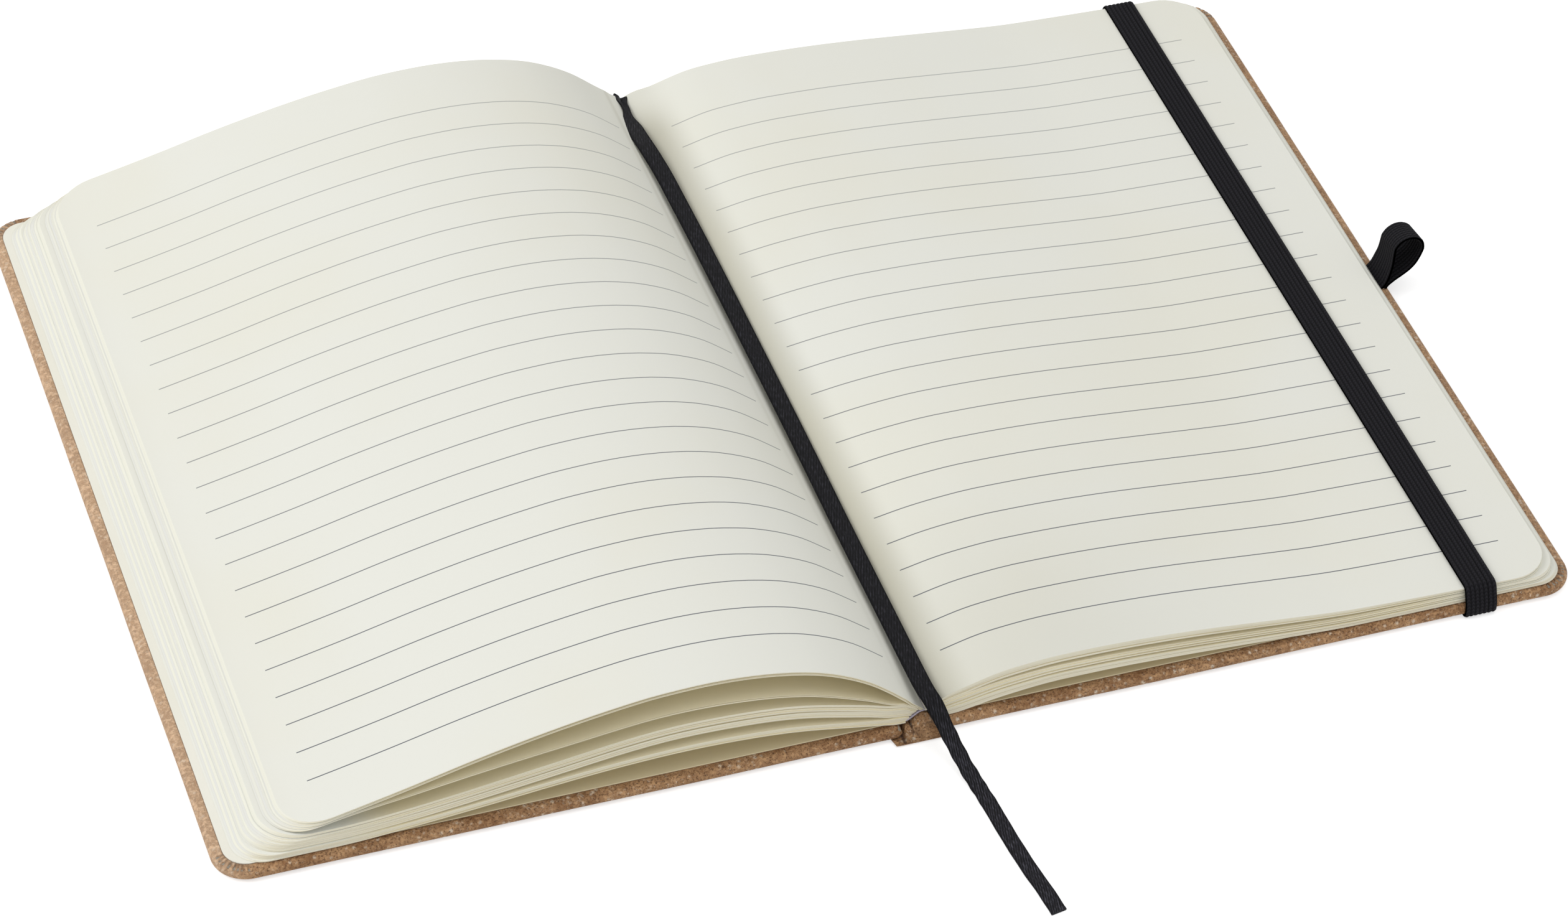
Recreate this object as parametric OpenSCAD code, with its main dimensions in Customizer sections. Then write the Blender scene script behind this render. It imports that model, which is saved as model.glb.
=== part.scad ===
// Hardback ruled notebook, lying open, with elastic closure, pen loop and ribbon marker.
// X runs across the open covers, +Y towards the head, +Z up.
// The origin is on the table, below the middle of the spine.

/* [Covers] */
// Height of a cover, tail to head
cover_h = 210; // [180:1:240]
// Width of a cover, from its joint to its fore edge
cover_w = 142.1; // [125:0.1:160]
// Radius of a cover's two outer corners
cover_corner_r = 7; // [4:0.5:14]
// Thickness of the grey board in a cover
board_t = 1.6; // [1.2:0.1:3]
// Thickness of the leather
leather_t = 0.35; // [0.2:0.05:0.8]
// Width of the leather that is turned in over the board
turn_in = 12; // [8:0.5:16]
// Thickness of an endpaper
endpaper_t = 0.2; // [0.1:0.05:0.4]
// Distance from the cover's edge to the edge of the pasted endpaper
endpaper_square = 1.6; // [1:0.1:4]
// Gap between the table and the covers, left by the spine and the closure
cover_lift = 0.6; // [0.4:0.1:1.5]

/* [Spine] */
// Width of the spine, from joint to joint
spine_w = 8.2; // [7:0.1:12]
// Thickness of the card strip inside the spine
strip_t = 0.9; // [0.5:0.1:1.4]
// Clearance round a strip or a band that runs through the cover
fit_gap = 0.1; // [0.05:0.05:0.3]
// Thickness of the cloth and paper lining on the back of the leaves
lining_t = 0.25; // [0.15:0.05:0.4]

/* [Leaves] */
// Distance from the cover's head or tail to the leaves
leaf_square = 1.5; // [0.5:0.1:4]
// Distance from the front cover's fore edge to the lowest left leaf
left_square = 4.6; // [2.5:0.1:8]
// Extra reach of the lowest left leaf, past the uppermost
left_fan = 9.6; // [2:0.2:10]
// Distance from the back cover's fore edge to the lowest right leaf
right_square = 3.2; // [2.5:0.1:8]
// Extra reach of the lowest right leaf, past the uppermost
right_fan = 2.4; // [0:0.2:3]
// Radius of the leaves' outer corners
leaf_corner_r = 9; // [5:0.5:14]
// Thickness of the lowest bundle of left leaves
left_low_t = 1.4; // [0.8:0.1:2]
// Thickness of the middle bundle of left leaves
left_mid_t = 1.7; // [1:0.1:3]
// Thickness of the upper bundle of left leaves
left_upper_t = 1.6; // [1:0.1:3]
// Thickness of the loose leaves between the upper and the top bundle
left_loose_t = 0.5; // [0.3:0.1:1]
// Thickness of the top bundle of left leaves
left_top_t = 0.9; // [0.5:0.05:1.5]
// Height of the left hump, above the gutter
left_hump = 17.3; // [12:0.1:22]
// Lift of the lowest left leaf over its endpaper, at the highest point
left_lift = 5.6; // [3:0.1:7]
// Gap over the lowest bundle of left leaves, at its widest
low_gap = 2.1; // [0.5:0.1:3]
// Fine slit between two bundles, at its widest
slit_w = 0.35; // [0.2:0.05:0.6]
// Thickness of the lower bundle of right leaves, at the fore edge
right_low_t = 1.1; // [0.8:0.1:2.5]
// Thickness of the middle bundle of right leaves, at the fore edge
right_mid_t = 1.1; // [0.8:0.1:2.5]
// Thickness of the top bundle of right leaves, at the fore edge
right_top_t = 1; // [0.6:0.1:1.6]
// How many times thicker the right leaves stand beside the gutter than at the fore edge
right_spread = 2.1; // [1.8:0.05:2.4]
// Lift of the lowest right leaf over its endpaper, at the highest point
right_lift = 2.95; // [1.5:0.05:4]

/* [Gutter] */
// Sideways place of the gutter line that the left half turns about
gutter_x = 1.0; // [0:0.1:2]
// Height of the gutter line above the endpapers
gutter_rise = 4.5; // [4:0.1:6]
// Radius of the rounded fold of leaves along the gutter line
fold_r = 1.3; // [0.8:0.1:1.6]
// Clearance round that fold
fold_gap = 0.3; // [0.2:0.05:0.5]

/* [Elastic closure] */
// Width of the closure band
band_w = 7; // [5:0.5:12]
// Thickness of the closure band
band_t = 0.8; // [0.5:0.1:1.2]
// Distance from the cover's fore edge to the near edge of the band
band_inset = 18.8; // [12:0.2:40]
// Distance from the cover's head or tail to the slot that the band goes through
slot_inset = 14; // [13:0.5:20]
// Length of the band's glued end, between board and endpaper
band_foot = 9; // [6:0.5:14]

/* [Pen loop] */
// Width of the pen loop's tape
loop_w = 8.5; // [6:0.5:14]
// Thickness of the pen loop's tape
loop_t = 0.8; // [0.5:0.1:1]
// Outer radius of the loop's round end
loop_r = 3.8; // [3.6:0.1:6]
// Reach of the round end's centre past the cover's fore edge
loop_out = 3.9; // [3:0.1:6]
// Height of the round end's centre above the cover's leather
loop_up = 9.7; // [8:0.1:12]
// Length of the tape's glued ends, between board and endpaper
loop_foot = 10; // [6:0.5:14]
// Distance of the loop's middle from the middle of the fore edge, to the tail
loop_shift = 1.2; // [0:0.1:60]

/* [Ribbon marker] */
// Width of the ribbon
ribbon_w = 4; // [3:0.1:7]
// Thickness of the ribbon
ribbon_t = 0.4; // [0.3:0.05:0.6]

/* [Hidden] */

$fn = 64;
// Small overrun, so that a cutter passes cleanly through a face
cut = 1;

joint_x = spine_w / 2;
fore_x = joint_x + cover_w;
leather_z = cover_lift;
board_z = leather_z + leather_t;
board_top = board_z + board_t;
leather_top = board_top + leather_t;
paste_top = leather_top + endpaper_t;

leaf_h = cover_h - 2 * leaf_square;
// Longest reach of the leaves on each side, and that of the uppermost, from the gutter line
left_longest = fore_x + gutter_x - left_square;
left_reach = left_longest - left_fan;
right_longest = fore_x - gutter_x - right_square;
right_reach = right_longest - right_fan;

gutter_z = paste_top + gutter_rise;
// Half the width of the hollow between the back of the leaves and the spine
hollow_half = joint_x + fit_gap;

band_x0 = fore_x - band_inset - band_w;
slot_y = cover_h / 2 - slot_inset;
loop_cx = fore_x + loop_out;
loop_cz = leather_top + loop_up;

// Height curves, as [share of the reach, share of the height], from the gutter outwards
LEFT_CREST = [
    [0, 0], [0.03, 0.138], [0.086, 0.489], [0.144, 0.73], [0.2, 0.878], [0.257, 0.963],
    [0.315, 1], [0.371, 0.994], [0.428, 0.957], [0.54, 0.804], [0.656, 0.586], [0.769, 0.334],
    [0.884, 0.099], [0.933, 0.017], [1, 0]
];
LEFT_LIFT = [
    [0, 0], [0.035, 0], [0.09, 0.25], [0.19, 0.73], [0.27, 0.93], [0.358, 1],
    [0.45, 0.92], [0.54, 0.73], [0.7, 0.3], [0.8, 0.08], [0.86, 0], [1, 0]
];
LOW_GAP = [
    [0, 0], [0.04, 0], [0.09, 0.4], [0.19, 0.88], [0.3, 1], [0.4, 0.95], [0.54, 0.45],
    [0.7, 0.12], [0.8, 0], [1, 0]
];
SLIT_OPENING = [[0, 0], [0.05, 0], [0.12, 0.4], [0.3, 1], [0.5, 1], [0.75, 0.4], [0.9, 0], [1, 0]];
LOOSE_LEAVES = [
    [0, 0.1], [0.04, 0.12], [0.09, 0.24], [0.19, 0.34], [0.358, 0.41], [0.54, 0.46],
    [0.75, 0.7], [0.85, 0.93], [0.92, 1], [1, 1]
];
RIGHT_LIFT = [
    [0, 0], [0.035, 0], [0.058, 0.1], [0.11, 0.55], [0.183, 0.95], [0.24, 1],
    [0.31, 0.95], [0.4, 0.74], [0.493, 0.47], [0.585, 0.18], [0.65, 0.02], [0.7, 0], [1, 0]
];
RIGHT_SPREAD = [
    [0, 1], [0.058, 1], [0.11, 0.82], [0.18, 0.65], [0.29, 0.51], [0.39, 0.42], [0.49, 0.31],
    [0.62, 0.2], [0.8, 0.06], [0.9, 0], [1, 0]
];

// Stations along a curve, as shares of the reach, closer together near the gutter
STATIONS = [
    0, 0.015, 0.03, 0.05, 0.068, 0.086, 0.105, 0.125, 0.15, 0.18, 0.21, 0.245, 0.28, 0.315,
    0.355, 0.4, 0.45, 0.5, 0.55, 0.6, 0.65, 0.7, 0.76, 0.82, 0.88, 0.93, 1
];
// Number of stations in the solid root of the leaves, left and right
left_root = 3;
right_root = 4;

// Route of the ribbon down the gutter: sideways place, share of the way from middle to head,
// height of its underside over the bottom of the gutter in half widths of the ribbon
RIBBON_GUTTER = [
    [1, 1, 0.93], [0.9, 0.994, 0.97], [0.8, 0.955, 1.1], [0.8, 0.89, 1.03], [0.9, 0.8, 0.95],
    [1.1, 0.65, 0.85], [1.5, 0.42, 0.75], [1.6, 0.1, 0.73], [1.6, -0.2, 0.73], [1.4, -0.5, 0.76],
    [1.4, -0.77, 0.78], [1.4, -0.93, 0.8], [1.5, -0.985, 0.82]
];
// Route of the ribbon past the tail: sideways place, distance past the leaves' tail, share of the drop left
RIBBON_TAIL = [
    [2, 2.5, 1.16], [2.9, 6.5, 0.83], [3.9, 10.5, 0.49], [4.9, 14.5, 0.2], [5.7, 18.5, 0.05],
    [6.4, 24.5, 0], [7, 34.5, 0], [7.8, 43.5, 0], [8.6, 49.5, 0], [8.9, 52.5, 0]
];
RIBBON_ROUTE = concat(
    [for (p = RIBBON_GUTTER) [p[0], p[1] * leaf_h / 2, gutter_z + ribbon_t / 2 + p[2] * ribbon_w / 2]],
    [for (p = RIBBON_TAIL) [p[0], -leaf_h / 2 - p[1], ribbon_t / 2 + 0.1 + p[2] * gutter_z]]
);

// Index of the stretch of a height curve that holds the share u
function stretch_at(list, u, i = 0) =
    (i >= len(list) - 2 || u < list[i + 1][0]) ? i : stretch_at(list, u, i + 1);

// Slope of a height curve at its point i
function slope_at(list, i) =
    let (before = max(i - 1, 0), after = min(i + 1, len(list) - 1))
    (list[after][1] - list[before][1]) / (list[after][0] - list[before][0]);

// Smooth value of a height curve at the share u
function curve(list, u) =
    let (
        i = stretch_at(list, u),
        h = list[i + 1][0] - list[i][0],
        t = (min(u, 1) - list[i][0]) / h,
        m0 = slope_at(list, i) * h,
        m1 = slope_at(list, i + 1) * h
    )
    (2 * pow(t, 3) - 3 * pow(t, 2) + 1) * list[i][1] + (pow(t, 3) - 2 * pow(t, 2) + t) * m0
    + (3 * pow(t, 2) - 2 * pow(t, 3)) * list[i + 1][1] + (pow(t, 3) - pow(t, 2)) * m1;

// Underside and top of each left bundle, at the share u of the longest reach
function left_low_z0(u) = paste_top + left_lift * max(0, curve(LEFT_LIFT, u));
function left_low_z1(u) = left_low_z0(u) + left_low_t;
function left_mid_z0(u) = left_low_z1(u) + low_gap * max(0, curve(LOW_GAP, u));
function left_mid_z1(u) = left_mid_z0(u) + left_mid_t;
function left_upper_z0(u) = left_mid_z1(u) + slit_w * max(0, curve(SLIT_OPENING, u));
function left_upper_z1(u) = left_upper_z0(u) + left_upper_t;
function left_stack_t() = left_low_t + left_mid_t + left_upper_t + left_loose_t + left_top_t;
function left_crest(u) =
    paste_top + lerp(gutter_rise + fold_r, left_stack_t(), u) + left_hump * curve(LEFT_CREST, u);
function left_top_z0(u) = max(left_crest(u) - left_top_t, left_upper_z1(u) + left_loose_t);
function left_loose_z1(u) =
    lerp(left_upper_z1(u) + left_loose_t, left_top_z0(u), min(1, curve(LOOSE_LEAVES, u)));
function left_loose_z0(u) = left_loose_z1(u) - left_loose_t;
function left_top_z1(u) = left_top_z0(u) + left_top_t;

// Underside and top of each right bundle, at the share u of the longest reach
function right_scale(u) = 1 + (right_spread - 1) * max(0, curve(RIGHT_SPREAD, u));
function right_low_z0(u) = paste_top + right_lift * max(0, curve(RIGHT_LIFT, u));
function right_low_z1(u) = right_low_z0(u) + right_low_t * right_scale(u);
function right_mid_z0(u) = right_low_z1(u) + slit_w / 2 * max(0, curve(SLIT_OPENING, u));
function right_mid_z1(u) = right_mid_z0(u) + right_mid_t * right_scale(u);
function right_top_z0(u) = right_mid_z1(u) + slit_w / 2 * max(0, curve(SLIT_OPENING, u));
function right_top_z1(u) = right_top_z0(u) + right_top_t * right_scale(u);

function lerp(a, b, t) = a + (b - a) * t;

// Outline of one bundle between two lists of heights, over the first stations, on the side dir
function bundle(dir, reach, low, high) =
    let (n = len(low) - 1)
    concat(
        [for (i = [0:n]) [gutter_x + dir * reach * STATIONS[i], low[i]]],
        [for (i = [n:-1:0]) [gutter_x + dir * reach * STATIONS[i], high[i]]]
    );

// A flat shape drawn in X and Z, drawn out along Y and centred
module along_y(length) {
    translate([0, length / 2, 0])
        rotate([90, 0, 0])
            linear_extrude(height = length)
                children();
}

// A plate with two square corners at the joint and two round ones at the fore edge
module cover_plate(dir, x0, x1, height, radius, z0, z1) {
    x_near = min(dir * x0, dir * (x1 - radius));
    translate([0, 0, z0]) {
        linear_extrude(height = z1 - z0)
            union() {
                translate([x_near, -height / 2])
                    square([x1 - radius - x0, height]);
                translate([min(dir * (x1 - radius), dir * x1), -height / 2 + radius])
                    square([radius, height - 2 * radius]);
                for (side = [-1, 1])
                    translate([dir * (x1 - radius), side * (height / 2 - radius)])
                        circle(r = radius);
            }
    }
}

// The slots that the closure band goes through, with the beds for its glued ends
module band_cutter() {
    for (side = [-1, 1]) {
        slot_far = slot_y + band_t + 2 * fit_gap;
        translate([band_x0 - fit_gap, min(side * (slot_y - fit_gap), side * slot_far), leather_z - cut])
            cube([band_w + 2 * fit_gap, slot_far - slot_y + fit_gap, board_t + 2 * leather_t + 2 * cut]);
        bed_far = slot_y - band_foot - fit_gap;
        translate([band_x0 - fit_gap, min(side * slot_y, side * bed_far), board_top - band_t])
            cube([band_w + 2 * fit_gap, slot_y - bed_far, band_t + cut]);
    }
}

// The bed for the pen loop's glued ends
module loop_cutter() {
    bed_x = fore_x - loop_foot - fit_gap;
    translate([bed_x, -loop_shift - loop_w / 2 - fit_gap, leather_top - 2 * loop_t])
        cube([fore_x - leather_t - bed_x, loop_w + 2 * fit_gap, 2 * loop_t + cut]);
}

// Grey board of one cover
module board(dir) {
    cover_plate(dir, joint_x + leather_t, fore_x - leather_t, cover_h - 2 * leather_t,
        cover_corner_r - leather_t, board_z, board_top);
}

// Leather of one cover, folded over the board's edges and turned in
module cover_leather(dir) {
    difference() {
        cover_plate(dir, joint_x, fore_x, cover_h, cover_corner_r, leather_z, leather_top);
        cover_plate(dir, joint_x + leather_t, fore_x - leather_t, cover_h - 2 * leather_t,
            cover_corner_r - leather_t, board_z, board_top);
        cover_plate(dir, joint_x + leather_t, fore_x - turn_in, cover_h - 2 * turn_in,
            cover_corner_r / 4, board_top - leather_t / 2, leather_top + cut);
    }
}

// Endpaper pasted over the board and the turned-in leather
module endpaper(dir) {
    cover_plate(dir, joint_x + leather_t, fore_x - turn_in, cover_h - 2 * turn_in,
        cover_corner_r / 4, board_top, leather_top);
    cover_plate(dir, joint_x + leather_t, fore_x - endpaper_square, cover_h - 2 * endpaper_square,
        cover_corner_r - endpaper_square, leather_top, paste_top);
}

module front_board() {
    color("gray") board(-1);
}

module front_leather() {
    color("peru") cover_leather(-1);
}

module front_endpaper() {
    color("ivory") endpaper(-1);
}

module back_board() {
    color("gray")
        difference() {
            board(1);
            band_cutter();
            loop_cutter();
        }
}

module back_leather() {
    color("peru")
        difference() {
            cover_leather(1);
            band_cutter();
            loop_cutter();
        }
}

module back_endpaper() {
    color("ivory") endpaper(1);
}

// Height of the card strip in the spine
strip_z = leather_t + fit_gap;
// Half the width of the strip, clear of the folded joints
strip_half = joint_x - 2 * leather_t - fit_gap;

module spine_strip() {
    color("gray")
        translate([-strip_half, -cover_h / 2 + leather_t, strip_z])
            cube([2 * strip_half, cover_h - 2 * leather_t, strip_t]);
}

// Leather of the spine: it sags below the covers and is folded over the strip's ends
module spine_leather() {
    strip_top = strip_z + strip_t;
    color("peru")
        difference() {
            along_y(cover_h)
                polygon([
                    [-joint_x, leather_z], [-strip_half, 0], [strip_half, 0], [joint_x, leather_z],
                    [joint_x, leather_top], [strip_half, strip_top + leather_t],
                    [-strip_half, strip_top + leather_t], [-joint_x, leather_top]
                ]);
            translate([-strip_half - fit_gap / 2, -cover_h / 2 + leather_t, strip_z - fit_gap / 2])
                cube([2 * strip_half + fit_gap, cover_h - 2 * leather_t, strip_t + fit_gap]);
            translate([-strip_half - fit_gap / 2, -cover_h / 2 + turn_in, strip_z])
                cube([2 * strip_half + fit_gap, cover_h - 2 * turn_in, leather_top]);
        }
}

// Cloth and paper lining on the back of the leaves, arched up over the hollow
module spine_lining() {
    flat = gutter_rise - fold_r - fit_gap / 2;
    inner = lining_t * 1.4;
    color("lavender")
        translate([0, 0, paste_top])
            along_y(leaf_h)
                polygon([
                    [gutter_x - hollow_half, 0], [gutter_x - hollow_half + flat, flat],
                    [gutter_x + hollow_half - flat, flat], [gutter_x + hollow_half, 0],
                    [gutter_x + hollow_half - inner, 0],
                    [gutter_x + hollow_half - flat - lining_t / 2, flat - lining_t],
                    [gutter_x - hollow_half + flat + lining_t / 2, flat - lining_t],
                    [gutter_x - hollow_half + inner, 0]
                ]);
}

// A footprint with rounded outer corners that trims one bundle of leaves
module leaf_footprint(dir, reach) {
    cover_plate(dir, -abs(gutter_x) - 2 * fold_r - cut, dir * gutter_x + reach, leaf_h, leaf_corner_r,
        0, paste_top + 2 * left_stack_t() + 2 * left_hump);
}

// One bundle of leaves: its curved section, trimmed to its own reach
module leaf_bundle(dir, longest, reach, low, high) {
    intersection() {
        along_y(leaf_h) polygon(bundle(dir, longest, low, high));
        leaf_footprint(dir, reach);
    }
}

// The space under the arched back of the leaves
module hollow_cutter(dir) {
    edge = gutter_rise - fold_r;
    along_y(leaf_h + 2 * cut)
        polygon([
            [gutter_x + dir * hollow_half, paste_top],
            [gutter_x + dir * (hollow_half - edge), paste_top + edge],
            [gutter_x - dir * hollow_half, paste_top + edge],
            [gutter_x - dir * hollow_half, -cut], [gutter_x + dir * hollow_half, -cut]
        ]);
}

// The space above the straight crease beside the gutter line, up to share u of the reach
module crease_cutter(dir, reach, u, crest) {
    far = gutter_x + dir * reach * u;
    along_y(leaf_h + 2 * cut)
        polygon([
            [gutter_x, gutter_z], [far, crest], [far, gutter_z + left_hump],
            [gutter_x - dir * cut, gutter_z + left_hump], [gutter_x - dir * cut, gutter_z]
        ]);
}

module fold(radius, length) {
    translate([gutter_x, 0, gutter_z])
        rotate([90, 0, 0])
            cylinder(r = radius, h = length, center = true);
}

module left_leaves() {
    crease = STATIONS[left_root - 1];
    low = [for (u = STATIONS) left_low_z0(u)];
    roots = [for (i = [0:left_root - 1]) STATIONS[i]];
    color("ivory")
        union() {
            difference() {
                union() {
                    leaf_bundle(-1, left_longest, left_longest, low, [for (u = STATIONS) left_low_z1(u)]);
                    leaf_bundle(-1, left_longest, left_reach + 0.86 * left_fan,
                        [for (u = STATIONS) left_mid_z0(u)], [for (u = STATIONS) left_mid_z1(u)]);
                    leaf_bundle(-1, left_longest, left_reach + 0.65 * left_fan,
                        [for (u = STATIONS) left_upper_z0(u)], [for (u = STATIONS) left_upper_z1(u)]);
                    leaf_bundle(-1, left_longest, left_reach + 0.27 * left_fan,
                        [for (u = STATIONS) left_loose_z0(u)], [for (u = STATIONS) left_loose_z1(u)]);
                    leaf_bundle(-1, left_longest, left_reach,
                        [for (u = STATIONS) left_top_z0(u)], [for (u = STATIONS) left_top_z1(u)]);
                    leaf_bundle(-1, left_longest, left_reach,
                        [for (u = roots) left_low_z0(u)], [for (u = roots) left_top_z1(u)]);
                }
                hollow_cutter(-1);
                crease_cutter(-1, left_longest, crease, left_crest(crease));
            }
            fold(fold_r, leaf_h);
        }
}

module right_leaves() {
    crease = STATIONS[right_root - 1];
    roots = [for (i = [0:right_root - 1]) STATIONS[i]];
    color("ivory")
        difference() {
            union() {
                leaf_bundle(1, right_longest, right_longest,
                    [for (u = STATIONS) right_low_z0(u)], [for (u = STATIONS) right_low_z1(u)]);
                leaf_bundle(1, right_longest, right_reach + 0.6 * right_fan,
                    [for (u = STATIONS) right_mid_z0(u)], [for (u = STATIONS) right_mid_z1(u)]);
                leaf_bundle(1, right_longest, right_reach,
                    [for (u = STATIONS) right_top_z0(u)], [for (u = STATIONS) right_top_z1(u)]);
                leaf_bundle(1, right_longest, right_reach,
                    [for (u = roots) right_low_z0(u)], [for (u = roots) right_top_z1(u)]);
            }
            hollow_cutter(1);
            crease_cutter(1, right_longest, crease, right_top_z1(crease));
            fold(fold_r + fold_gap, leaf_h + 2 * cut);
        }
}

// Points on an arc in the Y and Z of the band's section
function arc(cy, cz, r, from, to, n = 6) =
    [for (i = [0:n]) let (a = from + (to - from) * i / n) [cy + r * cos(a), cz + r * sin(a)]];

// Half of the band's section: over the leaves, round the cover's edge and back up through the slot
function band_half(top_z, bend) =
    let (side = cover_h / 2 + fit_gap, foot = slot_y + fit_gap)
    concat(
        [[0, top_z + band_t]],
        arc(side - bend, top_z - bend, bend + band_t, 90, 0),
        arc(side - cover_lift / 2, cover_lift, cover_lift / 2 + band_t, 0, -40, 3),
        [[side - cover_lift, 0], [foot, 0], [foot, board_top - band_t + fit_gap]],
        [[foot - band_foot, board_top - band_t + fit_gap], [foot - band_foot, board_top]],
        [[foot + band_t, board_top], [foot + band_t, cover_lift], [side, cover_lift]],
        arc(side - bend, top_z - bend, bend, 0, 90),
        [[0, top_z]]
    );

module closure_band() {
    u = (band_x0 - gutter_x) / right_longest;
    half = band_half(right_top_z1(u) + 2 * fit_gap, 1.5 * band_t);
    last = len(half) - 1;
    color([0.1, 0.1, 0.11])
        translate([band_x0, 0, 0])
            rotate([90, 0, 90])
                linear_extrude(height = band_w)
                    polygon(concat(half, [for (i = [last - 1:-1:1]) [-half[i][0], half[i][1]]]));
}

// Places where the pen loop's tape comes out from under the endpaper
loop_near = fore_x - endpaper_square + fit_gap;
loop_far = fore_x - leather_t - fit_gap;
// Lean of the loop, seen from the middle of its mouth
loop_lean = atan2(loop_cz - leather_top, loop_cx - (loop_near + loop_far) / 2);

// Angle, at the loop's centre, where a straight line from foot_x meets the round end on one side
function loop_tangent(foot_x, r, side) =
    let (d = [loop_cx - foot_x, loop_cz - leather_top])
    atan2(d[1], d[0]) + side * (90 + asin(r / norm(d)));

module pen_loop() {
    bed_z = leather_top - 2 * loop_t + fit_gap;
    inner_r = loop_r - loop_t;
    mouth = [(loop_near + loop_far) / 2, leather_top] + 2 * loop_t * [cos(loop_lean), sin(loop_lean)];
    color([0.1, 0.1, 0.11])
        translate([0, -loop_shift, 0])
            union() {
                along_y(loop_w)
                    difference() {
                        polygon(concat(
                            arc(loop_cx, loop_cz, loop_r, loop_tangent(loop_near, loop_r, 1),
                                loop_tangent(loop_far, loop_r, -1), 24),
                            [[loop_far, leather_top], [loop_near, leather_top]]
                        ));
                        polygon(concat(
                            arc(loop_cx, loop_cz, inner_r, loop_lean + 105, loop_lean - 105, 24),
                            [mouth]
                        ));
                    }
                translate([fore_x - loop_foot, -loop_w / 2, bed_z])
                    cube([loop_far - fore_x + loop_foot, loop_w, leather_top - bed_z]);
            }
}

// Unit vector in plan across the ribbon at point i of its route
function across(i) =
    let (
        a = RIBBON_ROUTE[max(i - 1, 0)],
        b = RIBBON_ROUTE[min(i + 1, len(RIBBON_ROUTE) - 1)],
        d = [b[0] - a[0], b[1] - a[1]]
    )
    [-d[1], d[0]] / norm(d);

// Unit vector square to the ribbon's flat face at point i of its route
function upward(i) =
    let (
        a = RIBBON_ROUTE[max(i - 1, 0)],
        b = RIBBON_ROUTE[min(i + 1, len(RIBBON_ROUTE) - 1)],
        d = (b - a) / norm(b - a),
        w = [across(i)[0], across(i)[1], 0]
    )
    cross(w, d) * sign(cross(w, d)[2] == 0 ? 1 : cross(w, d)[2]);

module ribbon_marker() {
    n = len(RIBBON_ROUTE);
    corners = [[-1, -1], [1, -1], [1, 1], [-1, 1]];
    points = [
        for (i = [0:n - 1], c = corners)
            RIBBON_ROUTE[i]
            + [across(i)[0], across(i)[1], 0] * (c[0] * ribbon_w / 2)
            + upward(i) * (c[1] * ribbon_t / 2)
    ];
    faces = concat(
        [[0, 1, 2, 3]],
        [for (i = [0:n - 2], k = [0:3]) [4 * i + k, 4 * i + 4 + k, 4 * i + 4 + (k + 1) % 4, 4 * i + (k + 1) % 4]],
        [[4 * n - 1, 4 * n - 2, 4 * n - 3, 4 * n - 4]]
    );
    color([0.08, 0.08, 0.1])
        polyhedron(points, faces, convexity = 4);
}

front_board();
front_leather();
front_endpaper();
back_board();
back_leather();
back_endpaper();
spine_strip();
spine_leather();
spine_lining();
left_leaves();
right_leaves();
closure_band();
pen_loop();
ribbon_marker();
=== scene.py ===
"""Open hardback ruled notebook with elastic closure, pen loop and ribbon marker.

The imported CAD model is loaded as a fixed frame, and every visible piece is dressed or replaced here.
All sizes in the classes are millimetres in the part's own frame: X across the open covers, +Y towards
the head of the pages, Z up, with the origin on the table below the middle of the spine.
"""

import logging
import math
import random
from dataclasses import dataclass, field
from enum import Enum
from functools import cached_property
from typing import Callable, Optional, Sequence, Union

import bmesh
import bpy
from mathutils import Matrix, Vector


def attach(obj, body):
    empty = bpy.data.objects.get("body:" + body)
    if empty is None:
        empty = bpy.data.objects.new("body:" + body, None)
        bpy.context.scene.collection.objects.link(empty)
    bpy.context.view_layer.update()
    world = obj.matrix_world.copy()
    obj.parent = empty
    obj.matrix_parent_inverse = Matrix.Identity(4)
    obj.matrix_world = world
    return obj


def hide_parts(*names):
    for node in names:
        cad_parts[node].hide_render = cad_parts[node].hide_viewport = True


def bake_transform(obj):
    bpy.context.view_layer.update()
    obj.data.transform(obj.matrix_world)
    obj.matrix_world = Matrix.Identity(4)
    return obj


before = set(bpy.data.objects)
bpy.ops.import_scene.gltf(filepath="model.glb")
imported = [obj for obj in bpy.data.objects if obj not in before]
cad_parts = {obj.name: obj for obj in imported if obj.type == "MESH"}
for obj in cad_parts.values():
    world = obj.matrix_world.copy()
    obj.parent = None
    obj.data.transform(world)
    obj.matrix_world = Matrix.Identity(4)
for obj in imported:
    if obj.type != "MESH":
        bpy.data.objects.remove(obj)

LOG = logging.getLogger("notebook")
MM = 0.001
WHITE = (1.0, 1.0, 1.0, 1.0)
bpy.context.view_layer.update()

Curve = Sequence[tuple[float, float]]
Point = tuple[float, float, float]


class Side(Enum):
    """Half of the open notebook, by the sign of its X."""

    FRONT = -1
    BACK = 1


class Body(Enum):
    """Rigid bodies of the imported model."""

    FRONT = "front"
    BACK = "back"


# Sizes


@dataclass(frozen=True)
class Notebook:
    """Sizes that several pieces share, in millimetres."""

    cover_h: float = 210.0
    joint_x: float = 4.1
    fore_x: float = 146.2
    corner_r: float = 7.0
    paste_top: float = 3.1
    endpaper_square: float = 2.0
    leaf_h: float = 207.0
    leaf_corner_r: float = 9.0
    gutter_x: float = 1.0
    gutter_z: float = 7.6
    left_longest: float = 142.6
    left_reach: float = 133.0
    right_longest: float = 142.8
    right_reach: float = 140.5


BOOK = Notebook()


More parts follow.
